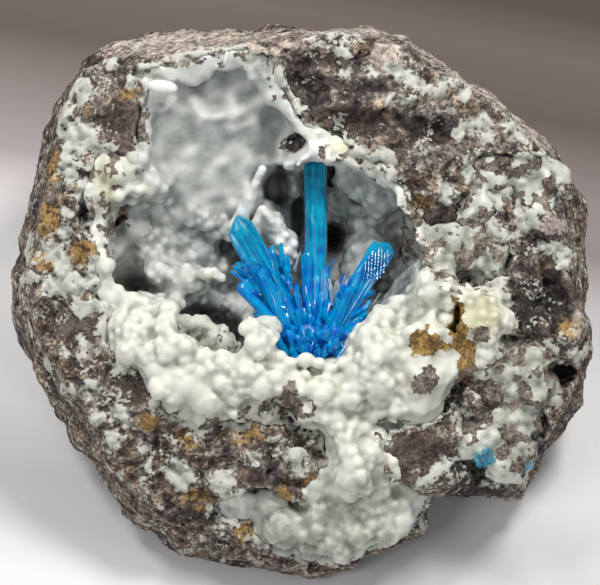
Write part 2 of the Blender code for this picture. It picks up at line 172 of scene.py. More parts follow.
def scramble(cell: Array, seed: int) -> Array:
    """Random-looking whole numbers of 32 bits.

    Args:
        cell: Whole-numbered lattice places, one row each.
        seed: Picks one of many such tables.

    Returns:
        One number for each row.
    """
    x = cell.astype(np.int64)
    mixed = (x[:, 0] * STIR_X + x[:, 1] * STIR_Y + x[:, 2] * STIR_Z + seed * STIR_SEED) & WORD
    mixed = ((mixed ^ (mixed >> 13)) * STIR_LAST) & WORD
    return mixed ^ (mixed >> 16)


def spread(number: Array) -> Array:
    """Three shares from 0 to 1 out of each scrambled number."""
    return np.stack([(number >> shift & TEN_BITS) / TEN_BITS for shift in (0, 10, 20)], axis=1)


def ripple(points: Array, size: float, seed: int) -> Array:
    """Smooth gradient noise.

    Args:
        points: Places, one row each.
        size: The distance over which the noise changes.
        seed: Picks one noise of many.

    Returns:
        Values from about -1 to 1.
    """
    place = points / size
    base = np.floor(place)
    part = place - base
    fade = part**3 * (part * (part * 6.0 - 15.0) + 10.0)
    total = np.zeros(len(points))
    for corner in itertools.product((0.0, 1.0), repeat=3):
        offset = np.array(corner)
        slope = spread(scramble(base + offset, seed)) * 2.0 - 1.0
        weight = np.where(offset > 0.5, fade, 1.0 - fade).prod(axis=1)
        total += weight * ((part - offset) * slope).sum(axis=1)
    return total * NOISE_GAIN


def layered(points: Array, size: float, seed: int, octaves: int = 3, keep: float = 0.5) -> Array:
    """Noise of several sizes, each half the one before and weaker by keep."""
    return sum(ripple(points, size / 2**n, seed + n) * keep**n for n in range(octaves))


def cells(points: Array, size: float, seed: int) -> tuple[Array, Array, Array]:
    """The nearest of one random seed point per lattice cell.

    Args:
        points: Places, one row each.
        size: The mean distance between seed points.
        seed: Picks one pattern of many.

    Returns:
        The distance to the nearest seed point, the vector from it, and three shares that mark its cell.
    """
    place = points / size
    base = np.floor(place)
    nearest = np.full(len(points), np.inf)
    away = np.zeros_like(points)
    marks = np.zeros_like(points)
    for corner in itertools.product((-1.0, 0.0, 1.0), repeat=3):
        shares = spread(scramble(base + np.array(corner), seed))
        apart = place - (base + np.array(corner) + shares)
        distance = (apart**2).sum(axis=1)
        closer = distance < nearest
        nearest[closer] = distance[closer]
        away[closer] = apart[closer]
        marks[closer] = shares[closer]
    return np.sqrt(nearest) * size, away * size, marks


def facets(points: Array, size: float, seed: int) -> Array:
    """A surface of tilted chips with steps between them.

    Args:
        points: Places, one row each.
        size: The mean size of a chip.
        seed: Picks one pattern of many.

    Returns:
        Heights from about -1 to 1.
    """
    _, away, marks = cells(points, size, seed)
    tilt = marks[:, [1, 2, 0]] * 2.0 - 1.0
    return (away * tilt).sum(axis=1) / (0.55 * size)


# Meshes


def working_copy(obj: Object, name: str) -> Object:
    """A closed copy of a CAD node, in the face frame's millimetres, to be shaped into a piece.

    Args:
        obj: The node, which stays as it is.
        name: The copy's name.

    Returns:
        The copy.
    """
    shell = bmesh.new()
    shell.from_mesh(obj.data)
    bmesh.ops.remove_doubles(shell, verts=shell.verts, dist=1e-6)
    mesh = bpy.data.meshes.new(name)
    shell.to_mesh(mesh)
    shell.free()
    mesh.transform(FACE.matrix().inverted())
    return new_object(mesh, name)


def new_object(mesh: Mesh, name: str) -> Object:
    """An object in the scene for a mesh.

    Args:
        mesh: The mesh.
        name: The object's name.

    Returns:
        The object.
    """
    obj = bpy.data.objects.new(name, mesh)
    bpy.context.scene.collection.objects.link(obj)
    return obj


def settle(obj: Object) -> None:
    """Turns what an object's modifiers make into its own mesh, and removes them.

    Args:
        obj: The object.
    """
    graph = bpy.context.evaluated_depsgraph_get()
    made = bpy.data.meshes.new_from_object(obj.evaluated_get(graph))
    obj.modifiers.clear()
    obj.data = made


def fuse(obj: Object, voxel: float) -> None:
    """Joins an object's overlapping shells into one skin of even quads.

    Args:
        obj: The object, whose mesh is replaced.
        voxel: The size of a quad.
    """
    modifier = obj.modifiers.new("fuse", "REMESH")
    modifier.mode = "VOXEL"
    modifier.voxel_size = voxel
    settle(obj)


def carve(obj: Object, lump: Lump) -> None:
    """Cuts a hole with the shape of a lump into a closed mesh.

    Args:
        obj: The object, whose mesh is replaced.
        lump: The hole.
    """
    shell = bmesh.new()
    bmesh.ops.create_icosphere(shell, subdivisions=3, radius=1.0, matrix=lump.matrix())
    mesh = bpy.data.meshes.new("cutter")
    shell.to_mesh(mesh)
    shell.free()
    cutter = new_object(mesh, "cutter")
    modifier = obj.modifiers.new("carve", "BOOLEAN")
    modifier.operation = "DIFFERENCE"
    modifier.solver = "MANIFOLD"
    modifier.object = cutter
    settle(obj)
    bpy.data.objects.remove(cutter)


def thin_out(obj: Object, weights: Array, most: int) -> None:
    """Drops faces where the weights are high until at most this many triangles are left.

    Args:
        obj: The object, whose mesh is replaced.
        weights: For each vertex, 0 to keep it and up to 1 to drop it first.
        most: The number of triangles wanted.
    """
    mesh = obj.data
    mesh.calc_loop_triangles()
    count = len(mesh.loop_triangles)
    if count <= most:
        return
    group = obj.vertex_groups.new(name="thin")
    levels = np.round(weights * 20).astype(int)
    for level in range(1, 21):
        group.add(np.flatnonzero(levels == level).tolist(), level / 20, "REPLACE")
    triangulate = obj.modifiers.new("triangles", "TRIANGULATE")
    triangulate.quad_method = "BEAUTY"
    modifier = obj.modifiers.new("thin out", "DECIMATE")
    modifier.ratio = most / count
    modifier.vertex_group = group.name
    settle(obj)
    obj.vertex_groups.clear()


def places(mesh: Mesh) -> Array:
    """A mesh's points.

    Args:
        mesh: The mesh.

    Returns:
        One row for each point.
    """
    flat = np.empty(len(mesh.vertices) * 3, np.float32)
    mesh.vertices.foreach_get("co", flat)
    return flat.reshape(-1, 3).astype(float)


def move(mesh: Mesh, points: Array) -> None:
    """Gives a mesh's points new places."""
    mesh.vertices.foreach_set("co", points.astype(np.float32).ravel())
    mesh.update()


def facing(mesh: Mesh) -> Array:
    """A mesh's normals at its points.

    Args:
        mesh: The mesh.

    Returns:
        One row for each point.
    """
    flat = np.empty(len(mesh.vertices) * 3, np.float32)
    mesh.vertex_normals.foreach_get("vector", flat)
    return flat.reshape(-1, 3).astype(float)


def store(mesh: Mesh, name: str, values: Array) -> None:
    """Keeps a number or a vector for each point of a mesh, which materials read by its name.

    Args:
        mesh: The mesh.
        name: The attribute's name.
        values: A number for each point, or a row of three.
    """
    kind, key = ("FLOAT", "value") if values.ndim == 1 else ("FLOAT_VECTOR", "vector")
    layer = mesh.attributes.get(name) or mesh.attributes.new(name, kind, "POINT")
    layer.data.foreach_set(key, values.astype(np.float32).ravel())


class Neighbours:
    """The edges of a mesh, to average values over each point's neighbours."""

    def __init__(self, mesh: Mesh) -> None:
        """Reads the edges of a mesh.

        Args:
            mesh: The mesh.
        """
        flat = np.empty(len(mesh.edges) * 2, np.int32)
        mesh.edges.foreach_get("vertices", flat)
        pairs = flat.reshape(-1, 2)
        self.ends = np.concatenate([pairs[:, 0], pairs[:, 1]])
        self.others = np.concatenate([pairs[:, 1], pairs[:, 0]])
        self.size = len(mesh.vertices)
        self.counts = np.maximum(np.bincount(self.ends, minlength=self.size), 1)

    def mean(self, values: Array) -> Array:
        """The mean of each point's neighbours.

        Args:
            values: A number or a row for each point.

        Returns:
            The means, in the same form.
        """
        if values.ndim == 1:
            return np.bincount(self.ends, values[self.others], self.size) / self.counts
        return np.stack([self.mean(column) for column in values.T], axis=1)

    def smooth(self, values: Array, rounds: int, share: Array | float = 0.5) -> Array:
        """Evens values out with their neighbours'.

        Args:
            values: A number or a row for each point.
            rounds: How many times.
            share: How far each value moves to its neighbours' mean, for all points or for each.

        Returns:
            The values, in the same form.
        """
        weight = share[:, None] if isinstance(share, Array) and values.ndim == 2 else share
        for _ in range(rounds):
            values = values + (self.mean(values) - values) * weight
        return values


def hollowness(mesh: Mesh, near: Neighbours, rounds: int, depth: float) -> Array:
    """How deep each point lies below its surroundings, from -1 on a peak to 1 in a crease.

    Args:
        mesh: The mesh.
        near: Its neighbours.
        rounds: How far round a point its surroundings reach, in steps.
        depth: The depth that counts as 1.

    Returns:
        A value for each point.
    """
    points = places(mesh)
    gap = ((near.smooth(points, rounds) - points) * facing(mesh)).sum(axis=1)
    return np.clip(near.smooth(gap, 2) / depth, -1.0, 1.0)


def patch_depth(points: Array, patches: tuple[Patch, ...], fray: Array | float = 0.0) -> Array:
    """How far inside the nearest patch each point lies, in millimetres, seen from the front.

    Args:
        points: Places in the face frame.
        patches: The patches.
        fray: Millimetres added to each point's depth, which makes the edges ragged.

    Returns:
        Depths from -2 well outside to 2 well inside.
    """
    depth = np.full(len(points), -2.0)
    for patch in patches:
        turn = math.radians(patch.turn)
        dx, dy = points[:, 0] - patch.x, points[:, 1] - patch.y
        u = (dx * math.cos(turn) + dy * math.sin(turn)) / patch.rx
        v = (dy * math.cos(turn) - dx * math.sin(turn)) / patch.ry
        depth = np.maximum(depth, (1.0 - np.hypot(u, v)) * min(patch.rx, patch.ry))
    return np.clip(depth + fray, -2.0, 2.0)


def share_in(
    points: Array, patches: tuple[Patch, ...], start: float, fade: float = 1.0, fray: Array | float = 0.0
) -> Array:
    """How much each point belongs to some patches.

    Args:
        points: Places in the face frame.
        patches: The patches.
        start: The share on a patch's edge.
        fade: The millimetres over which the share grows by 1.
        fray: Millimetres added to each point's depth.

    Returns:
        Shares from 0 to 1.
    """
    return np.clip(patch_depth(points, patches, fray) / fade + start, 0.0, 1.0)


def covered(points: Array, normals: Array, tree: BVHTree, reach: float) -> Array:
    """Whether each point looks straight at another solid, closer than a reach."""
    hits = (tree.ray_cast(Vector(p), Vector(n), reach)[0] for p, n in zip(points, normals))
    return np.fromiter((hit is not None for hit in hits), bool, len(points))


def depth_below(mesh: Mesh, points: Array, normals: Array, most: float) -> Array:
    """How thick a mesh is under each of its points.

    Args:
        mesh: The mesh, for its faces.
        points: Its points.
        normals: Its normals there.
        most: What counts as endless.

    Returns:
        A thickness for each point.
    """
    tree = BVHTree.FromPolygons(points.tolist(), [tuple(face.vertices) for face in mesh.polygons])
    starts, lines = points - normals * 0.05, -normals
    hits = (tree.ray_cast(Vector(p), Vector(n), most)[3] for p, n in zip(starts, lines))
    return np.fromiter((most if hit is None else hit for hit in hits), float, len(points))


def clearance(points: Array, tree: BVHTree, reach: float) -> Array:
    """How far each point is from another solid's surface, up to a reach."""
    gaps = (tree.find_nearest(Vector(p), reach)[3] for p in points)
    return np.fromiter((reach if gap is None else gap for gap in gaps), float, len(points))


def tree_of(obj: Object) -> BVHTree:
    """A search tree of a CAD node.

    Args:
        obj: The node.

    Returns:
        The tree, in the face frame's millimetres.
    """
    back = FACE.matrix().inverted()
    points = [back @ vert.co for vert in obj.data.vertices]
    return BVHTree.FromPolygons(points, [tuple(face.vertices) for face in obj.data.polygons])


def hand_in(obj: Object, material: Material, slot: Slot, *nodes: str, flat: bool = False) -> None:
    """Puts a finished piece in the model's frame, dresses it, hangs it under the root body and hides the CAD
    nodes that it stands for.

    Args:
        obj: The piece, in the face frame's millimetres.
        material: Its finish.
        slot: The slot that the finish belongs to; not used.
        nodes: The CAD nodes that the piece stands for.
        flat: Whether its faces keep their edges.
    """
    mesh = obj.data
    mesh.transform(FACE.matrix())
    mesh.materials.clear()
    mesh.materials.append(material)
    mesh.polygons.foreach_set("material_index", [0] * len(mesh.polygons))
    mesh.polygons.foreach_set("use_smooth", [not flat] * len(mesh.polygons))
    mesh.update()
    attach(obj, "root")
    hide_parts(*nodes)
    mesh.calc_loop_triangles()
    LOG.info("%s: %d triangles", obj.name, len(mesh.loop_triangles))


# Node trees


class Nodes:
    """Adds nodes to one tree and links them as they are made, so that a pattern reads as one formula."""

    def __init__(self, tree: NodeTree) -> None:
        """Starts on a tree."""
        self.tree = tree

    def feed(self, socket: Socket, value: object) -> None:
        """Links an output to an input, or sets the input's value.

        Args:
            socket: The input.
            value: An output, or what the input itself takes.
        """
        if isinstance(value, Socket):
            self.tree.links.new(value, socket)
        else:
            socket.default_value = value

    def add(self, kind: str, inputs: dict[str | int, object] | None = None, **settings: object) -> Node:
        """A new node.

        Args:
            kind: Its type's name.
            inputs: What feeds its sockets, by their names or places.
            settings: Its properties.

        Returns:
            The node.
        """
        node = self.tree.nodes.new(kind)
        for key, value in settings.items():
            setattr(node, key, value)
        for key, value in (inputs or {}).items():
            self.feed(node.inputs[key], value)
        return node

    def math(self, operation: str, *values: object, clamp: bool = False) -> Socket:
        """One step of arithmetic on numbers."""
        node = self.add("ShaderNodeMath", dict(enumerate(values)), operation=operation, use_clamp=clamp)
        return node.outputs[0]

    def vector(self, operation: str, *values: object, output: str = "Vector") -> Socket:
        """One step of arithmetic on vectors.

        Args:
            operation: Its name.
            values: What feeds its sockets, in their order.
            output: The socket that holds the result.

        Returns:
            That socket.
        """
        node = self.add("ShaderNodeVectorMath", operation=operation)
        for socket, value in zip(node.inputs, values):
            self.feed(socket, value)
        return node.outputs[output]

    def stretch(self, place: Socket, factors: Triple) -> Socket:
        """A place with each of its axes scaled."""
        return self.vector("MULTIPLY", place, factors)

    def scaled(self, value: Socket, factor: object) -> Socket:
        """A vector made longer or shorter."""
        node = self.add("ShaderNodeVectorMath", {"Vector": value, "Scale": factor}, operation="SCALE")
        return node.outputs["Vector"]

    def times(self, value: object, factor: object) -> Socket:
        """A number made larger or smaller."""
        return self.math("MULTIPLY", value, factor)

    def less(self, value: object, taken: object, clamp: bool = False) -> Socket:
        """A number with another taken away."""
        return self.math("SUBTRACT", value, taken, clamp=clamp)

    def plus(self, value: object, more: object, clamp: bool = False) -> Socket:
        """The sum of two numbers."""
        return self.math("ADD", value, more, clamp=clamp)

    def ease(
        self, value: object, low: object, high: object, to_low: object = 0.0, to_high: object = 1.0
    ) -> Socket:
        """A smooth step of a value between two limits."""
        feeds = {"Value": value, "From Min": low, "From Max": high, "To Min": to_low, "To Max": to_high}
        return self.add("ShaderNodeMapRange", feeds, interpolation_type="SMOOTHSTEP").outputs["Result"]

    def blend(self, factor: object, first: object, second: object, kind: str = "MIX") -> Socket:
        """A mix of two colours.

        Args:
            factor: How far the second colour counts.
            first: The colour it lies on.
            second: The colour that lies on it.
            kind: The way of mixing.

        Returns:
            The colour.
        """
        node = self.add("ShaderNodeMix", data_type="RGBA", blend_type=kind)
        for place, value in ((0, factor), (6, first), (7, second)):
            self.feed(node.inputs[place], value)
        return node.outputs[2]

    def noise(self, place: Socket, size: float, detail: float = 2.0, rough: float = 0.5) -> Socket:
        """Soft noise from 0 to 1 whose features have about this size."""
        feeds = {"Vector": place, "Scale": 1.0 / size, "Detail": detail, "Roughness": rough}
        return self.add("ShaderNodeTexNoise", feeds).outputs["Fac"]

    def grains(self, place: Socket, size: float) -> Socket:
        """A random tone from 0 to 1 for each grain of this size."""
        node = self.add("ShaderNodeTexVoronoi", {"Vector": place, "Scale": 1.0 / size})
        return self.add("ShaderNodeSeparateColor", {"Color": node.outputs["Color"]}).outputs["Red"]

    def ramp(self, factor: object, *stops: tuple[float, Triple]) -> Socket:
        """A colour for each value.

        Args:
            factor: The value.
            stops: Values and their colours, which blend in between.

        Returns:
            The colour.
        """
        node = self.add("ShaderNodeValToRGB", {"Fac": factor})
        elements = node.color_ramp.elements
        for place, colour in stops[1:-1]:
            elements.new(place).color = (*colour, 1.0)
        ends = (elements[0], elements[len(elements) - 1])
        for element, (place, colour) in zip(ends, (stops[0], stops[-1])):
            element.position = place
            element.color = (*colour, 1.0)
        return node.outputs["Color"]

    def attribute(self, name: str, output: str = "Fac") -> Socket:
        """A value that the mesh keeps for each point."""
        return self.add("ShaderNodeAttribute", attribute_name=name).outputs[output]

    def group(self, tree: NodeTree, **inputs: object) -> Node:
        """A group node.

        Args:
            tree: The group.
            inputs: What feeds its inputs, named with underscores for spaces.

        Returns:
            The node.
        """
        node = self.add("ShaderNodeGroup", node_tree=tree)
        for key, value in inputs.items():
            self.feed(node.inputs[key.replace("_", " ")], value)
        return node


def shader_group(
    name: str, inputs: dict[str, object], outputs: dict[str, str]
) -> tuple[Nodes, Socket, Socket]:
    """An empty shader group.

    Args:
        name: Its name.
        inputs: For each input, its default number, or a triple for a vector.
        outputs: For each output, its socket type.

    Returns:
        The builder for its nodes, and the sockets of its input node and of its output node.
    """
    tree = bpy.data.node_groups.new(name, "ShaderNodeTree")
    for key, value in inputs.items():
        kind = "NodeSocketVector" if isinstance(value, tuple) else "NodeSocketFloat"
        tree.interface.new_socket(key, in_out="INPUT", socket_type=kind).default_value = value
    for key, kind in outputs.items():
        tree.interface.new_socket(key, in_out="OUTPUT", socket_type=kind)
    nodes = Nodes(tree)
    return nodes, nodes.add("NodeGroupInput").outputs, nodes.add("NodeGroupOutput").inputs


def ragged_edge_group() -> NodeTree:
    """A group that turns a soft depth in millimetres into a mask with a crumbly edge.

    Returns:
        The group.
    """
    inputs = {"Place": (0.0, 0.0, 0.0), "Depth": 0.0, "Fray": 0.6, "Softness": 0.12}
    nodes, given, made = shader_group("ragged edge", inputs, {"Mask": "NodeSocketFloat"})
    coarse = nodes.noise(given["Place"], 1.1, detail=3.0, rough=0.65)
    fine = nodes.grains(given["Place"], 0.42)
    crumble = nodes.plus(nodes.times(coarse, 1.7), nodes.times(fine, 0.5))
    shift = nodes.times(nodes.less(crumble, 1.1), given["Fray"])
    depth = nodes.plus(given["Depth"], shift)
    low = nodes.times(given["Softness"], -1.0)
    nodes.feed(made["Mask"], nodes.ease(depth, low, given["Softness"]))
    return nodes.tree


def speckle_group() -> NodeTree:
    """A group that gives broken rock its tone: grains of two sizes on cloudier variation.

    Returns:
        The group.
    """
    inputs = {"Place": (0.0, 0.0, 0.0), "Grain Size": 0.45, "Contrast": 1.0}
    outputs = {"Tone": "NodeSocketFloat", "Height": "NodeSocketFloat"}
    nodes, given, made = shader_group("speckle", inputs, outputs)
    place = nodes.scaled(given["Place"], nodes.math("DIVIDE", 1.0, given["Grain Size"]))
    small = nodes.grains(place, 1.0)
    large = nodes.grains(place, 2.6)
    cloud = nodes.noise(given["Place"], 3.2, detail=4.0, rough=0.62)
    fine = nodes.noise(place, 0.7, detail=2.0, rough=0.7)
    mixed = nodes.math("MULTIPLY_ADD", small, 0.34, nodes.times(large, 0.2))
    mixed = nodes.math("MULTIPLY_ADD", cloud, 0.62, mixed)
    mixed = nodes.math("MULTIPLY_ADD", fine, 0.36, mixed)
    tone = nodes.math("MULTIPLY_ADD", nodes.less(mixed, 0.76), given["Contrast"], 0.5, clamp=True)
    nodes.feed(made["Tone"], tone)
    nodes.feed(made["Height"], nodes.math("MULTIPLY_ADD", small, 0.4, fine))
    return nodes.tree


@dataclass(frozen=True)
class Finishes:
    """The shared shader groups, built once."""

    ragged: NodeTree
    speckle: NodeTree

    @staticmethod
    def start(name: str) -> tuple[Material, Nodes, Node, Socket]:
        """Starts a material.

        Args:
            name: Its name.

        Returns:
            The material, its builder, its shader, and the place on the piece in millimetres.
        """
        material = bpy.data.materials.new(name)
        material.use_nodes = True
        nodes = Nodes(material.node_tree)
        shader = material.node_tree.nodes["Principled BSDF"]
        where = nodes.add("ShaderNodeTexCoord").outputs["Object"]
        return material, nodes, shader, nodes.scaled(where, 1.0 / MM)

    def mask(self, nodes: Nodes, place: Socket, name: str, fray: float, softness: float) -> Socket:
        """Where one of the mesh's depth values is above 0, with a ragged edge.

        Args:
            nodes: The material's builder.
            place: The place on the piece.
            name: The value's name.
            fray: How far the edge strays, in millimetres.
            softness: Half the width over which the mask fades.

        Returns:
            The mask.
        """
        depth = nodes.attribute(name)
        node = nodes.group(self.ragged, Place=place, Depth=depth, Fray=fray, Softness=softness)
        return node.outputs["Mask"]

    @classmethod
    def build(cls) -> "Finishes":
        """Makes the groups."""
        return cls(ragged_edge_group(), speckle_group())


@dataclass(frozen=True)
class BasaltFinish:
    """Broken basalt: speckled brown-grey, with rusty, chalky and smooth purple-brown areas."""

    ramp: tuple[tuple[float, Triple], ...] = (
        (0.0, (0.016, 0.012, 0.011)),
        (0.3, (0.060, 0.047, 0.042)),
        (0.55, (0.150, 0.125, 0.108)),
        (0.78, (0.330, 0.290, 0.250)),
        (1.0, (0.640, 0.600, 0.530)),
    )
    warmth: Triple = (1.0, 0.80, 0.60)
    slab: Triple = (0.058, 0.041, 0.036)
    # Pale, for the rock's pale streaks and for painted light on the top edges.
    pale: Triple = (0.46, 0.385, 0.335)
    white: Triple = (0.60, 0.605, 0.54)
    white_shade: Triple = (0.27, 0.275, 0.24)
    rust_deep: Triple = (0.055, 0.032, 0.018)
    rust_light: Triple = (0.42, 0.255, 0.085)
    # Near black, for dark rock and for painted shade.
    dark_and_shade: Triple = (0.022, 0.017, 0.016)
    grain_size: float = 0.42
    contrast: float = 1.35
    shine: float = 0.35

    def build(self, shared: Finishes) -> Material:
        """Makes the material from what the mesh keeps: white, rust, dark rock with painted shade, slab, pale
        with painted light, flank, flow, and crease depth for painted shade.

        Args:
            shared: The shader groups.

        Returns:
            The material.
        """
        material, nodes, shader, place = shared.start("broken basalt")
        grain = nodes.group(shared.speckle, Place=place, Grain_Size=self.grain_size, Contrast=self.contrast)
        flow = nodes.attribute("flow", "Vector")
        streak = nodes.noise(nodes.stretch(flow, (0.1, 1.5, 1.5)), 1.0, detail=4.0, rough=0.7)
        flank = nodes.attribute("flank")
        swing = nodes.times(nodes.less(streak, 0.52), nodes.times(flank, 2.6))
        # Darker in creases: painted shade, from how deep each point lies in a crease.
        crease_shade = nodes.attribute("crease_shade")
        tone = nodes.less(nodes.plus(grain.outputs["Tone"], swing), nodes.times(crease_shade, 0.2), clamp=True)
        broad = nodes.noise(place, 5.5, detail=3.0, rough=0.6)
        shift = nodes.times(nodes.less(broad, 0.5), nodes.ease(flank, 0.0, 1.0, 1.1, 0.4))
        tone = nodes.plus(tone, shift, clamp=True)
        colour = nodes.ramp(tone, *self.ramp)
        warm = nodes.noise(nodes.stretch(place, (1.0, 1.0, 1.3)), 4.0, detail=3.0, rough=0.6)
        warm = nodes.times(nodes.ease(warm, 0.42, 0.64), 0.75)
        colour = nodes.blend(warm, colour, (*self.warmth, 1.0), "MULTIPLY")

        # Each row: the mesh's value, tint, the edge's fray and softness, how the tone lights it, and cover
        layers = (
            ("slab", self.slab, 0.5, 0.3, (0.1, 1.0, 0.45, 2.2), 0.85),
            # The pale layer holds pale streaks and painted light.
            ("pale", self.pale, 0.9, 0.5, (0.0, 1.0, 0.35, 1.7), 0.75),
            # The dark layer holds dark rock and painted shade.
            ("dark_and_shade", self.dark_and_shade, 0.9, 0.5, (0.2, 1.0, 0.5, 3.5), 0.85),
        )
        for name, tint, fray, softness, limits, cover in layers:
            mask = nodes.times(shared.mask(nodes, place, name, fray, softness), cover)
            lit = nodes.blend(1.0, (*tint, 1.0), nodes.ease(tone, *limits), "MULTIPLY")
            colour = nodes.blend(mask, colour, lit)

        rust = nodes.times(shared.mask(nodes, place, "rust", 1.6, 0.5), 0.85)
        rust_tone = nodes.math("MULTIPLY_ADD", nodes.noise(place, 1.0, detail=3.0, rough=0.7), 0.9, tone)
        rust_tone = nodes.ease(rust_tone, 0.5, 1.25)
        rust_colour = nodes.ramp(rust_tone, (0.1, self.rust_deep), (0.9, self.rust_light))
        colour = nodes.blend(rust, colour, rust_colour)
        thick = nodes.ease(nodes.noise(place, 4.5, detail=3.0, rough=0.6), 0.4, 0.68)
        specks = nodes.ease(nodes.times(nodes.grains(place, 0.5), thick), 0.45, 0.7)
        colour = nodes.blend(nodes.times(specks, 0.75), colour, (*self.white, 1.0))

        white = shared.mask(nodes, place, "white", 1.3, 0.3)
        # The white patches are darker in creases too: painted shade.
        chalk = nodes.less(nodes.noise(place, 1.3, detail=3.0, rough=0.6), nodes.times(crease_shade, 0.45))
        colour = nodes.blend(white, colour, nodes.ramp(chalk, (0.2, self.white_shade), (0.6, self.white)))
        nodes.feed(shader.inputs["Base Color"], colour)

        rough = nodes.ease(nodes.grains(place, 0.3), 0.82, 1.0, 0.86, 0.42)
        nodes.feed(shader.inputs["Roughness"], rough)
        height = nodes.math("MULTIPLY_ADD", grain.outputs["Height"], 0.12, nodes.times(streak, 0.2))
        bump = nodes.add("ShaderNodeBump", {"Strength": 0.7, "Distance": MM, "Height": height})
        nodes.feed(shader.inputs["Normal"], bump.outputs["Normal"])
        shader.inputs["Specular IOR Level"].default_value = self.shine
        return material


@dataclass(frozen=True)
class CrustFinish:
    """Zeolite crust: waxy grey-white lumps, and rock-coloured skin in places; lighter lump tops, darker
    olive creases and a darker hollow are painted light and shade.
    """

    # Lump tops, bodies and creases: the lighter tops and darker creases are painted light and shade.
    tip: Triple = (0.81, 0.81, 0.71)
    body: Triple = (0.665, 0.67, 0.585)
    crease_shade: Triple = (0.34, 0.345, 0.275)
    # The same colours darker, for the hollow's inside: painted shade.
    deep_tip: Triple = (0.63, 0.65, 0.62)
    deep_body: Triple = (0.465, 0.485, 0.455)
    deep_crease: Triple = (0.18, 0.20, 0.175)
    chalk: Triple = (0.86, 0.86, 0.83)
    # Mottled darkening: partly dirt, partly painted shade.
    dirt_and_shade_deep: Triple = (0.40, 0.43, 0.38)
    dirt_and_shade_light: Triple = (0.86, 0.88, 0.86)
    yellow: Triple = (0.78, 0.72, 0.42)
    # Near black for deep recesses: painted shade.
    recess: Triple = (0.02, 0.02, 0.017)
    skin_deep: Triple = (0.075, 0.040, 0.013)
    skin_light: Triple = (0.46, 0.285, 0.08)
    brown_deep: Triple = (0.035, 0.025, 0.022)
    brown_light: Triple = (0.36, 0.295, 0.235)
    grain_size: float = 0.36
    contrast: float = 1.5
    glow: float = 0.16
    glow_depth: Triple = (1.0, 0.95, 0.75)
    glow_reach: float = 0.8
    shine: float = 0.45

    def build(self, shared: Finishes) -> Material:
        """Makes the material from values that the mesh keeps.

        They give each point's crease depth, depth, chalk, dirt with shade, yellow, black recess, skin and
        brown; the crease depth, the depth and the black recesses paint shade, and the dirt value paints dirt
        with shade.

        Args:
            shared: The shader groups.

        Returns:
            The material.
        """
        material, nodes, shader, place = shared.start("zeolite crust")
        crease_shade = nodes.attribute("crease_shade")
        cloud = nodes.noise(place, 4.5, detail=3.0, rough=0.6)
        # Lighter on lump tops and darker, olive, in creases: painted light and shade, with a cloudy tone.
        shade = nodes.ease(nodes.plus(crease_shade, nodes.times(nodes.less(cloud, 0.5), 0.35)), -1.0, 1.0)
        outer = nodes.ramp(shade, (0.15, self.tip), (0.5, self.body), (0.92, self.crease_shade))
        inner = nodes.ramp(shade, (0.15, self.deep_tip), (0.5, self.deep_body), (0.92, self.deep_crease))
        # Darker colours deeper in the hollow and on its upper-left wall: painted shade.
        depth = nodes.plus(nodes.attribute("depth"), nodes.times(cloud, 5.0))
        colour = nodes.blend(nodes.ease(depth, -4.0, 4.0), inner, outer)
        chalk = nodes.times(shared.mask(nodes, place, "chalk", 0.9, 0.8), 0.7)
        colour = nodes.blend(chalk, colour, (*self.chalk, 1.0))
        # Mottled darker patches on the lower and right crust: partly dirt, partly painted shade where the
        # crust lies in shade.
        dirt_and_shade = nodes.times(shared.mask(nodes, place, "dirt_and_shade", 1.6, 1.2), 0.85)
        dirt_and_shade_noise = nodes.ease(nodes.noise(place, 2.4, detail=4.0, rough=0.6), 0.36, 0.66)
        dirt_and_shade_tone = nodes.blend(dirt_and_shade_noise, (*self.dirt_and_shade_deep, 1.0), (*self.dirt_and_shade_light, 1.0))
        colour = nodes.blend(dirt_and_shade, colour, nodes.blend(1.0, colour, dirt_and_shade_tone, "MULTIPLY"))
        yellow = nodes.times(shared.mask(nodes, place, "yellow", 1.2, 1.2), 0.6)
        colour = nodes.blend(yellow, colour, (*self.yellow, 1.0), "MULTIPLY")
        # Near black in deep recesses: painted shade.
        colour = nodes.blend(nodes.times(nodes.attribute("black_shade"), 0.88), colour, (*self.recess, 1.0))

        grain = nodes.group(shared.speckle, Place=place, Grain_Size=self.grain_size, Contrast=self.contrast)
        skin = shared.mask(nodes, place, "skin", 0.7, 0.12)
        skin_colour = nodes.ramp(grain.outputs["Tone"], (0.2, self.skin_deep), (0.8, self.skin_light))
        colour = nodes.blend(skin, colour, skin_colour)
        brown = shared.mask(nodes, place, "brown", 0.9, 0.12)
        brown_colour = nodes.ramp(grain.outputs["Tone"], (0.2, self.brown_deep), (0.9, self.brown_light))
        colour = nodes.blend(brown, colour, brown_colour)
        nodes.feed(shader.inputs["Base Color"], colour)

        rough = nodes.ease(nodes.noise(place, 0.8), 0.3, 0.7, 0.42, 0.62)
        nodes.feed(shader.inputs["Roughness"], rough)
        sugar = nodes.noise(place, 0.22, detail=2.0, rough=0.6)
        rocky = nodes.times(grain.outputs["Height"], nodes.plus(skin, brown))
        height = nodes.plus(nodes.times(sugar, 0.06), nodes.times(rocky, 0.12))
        bump = nodes.add("ShaderNodeBump", {"Strength": 0.6, "Distance": MM, "Height": height})
        nodes.feed(shader.inputs["Normal"], bump.outputs["Normal"])
        shader.inputs["Subsurface Weight"].default_value = self.glow
        shader.inputs["Subsurface Radius"].default_value = self.glow_depth
        shader.inputs["Subsurface Scale"].default_value = self.glow_reach * MM
        shader.inputs["Specular IOR Level"].default_value = self.shine
        return material


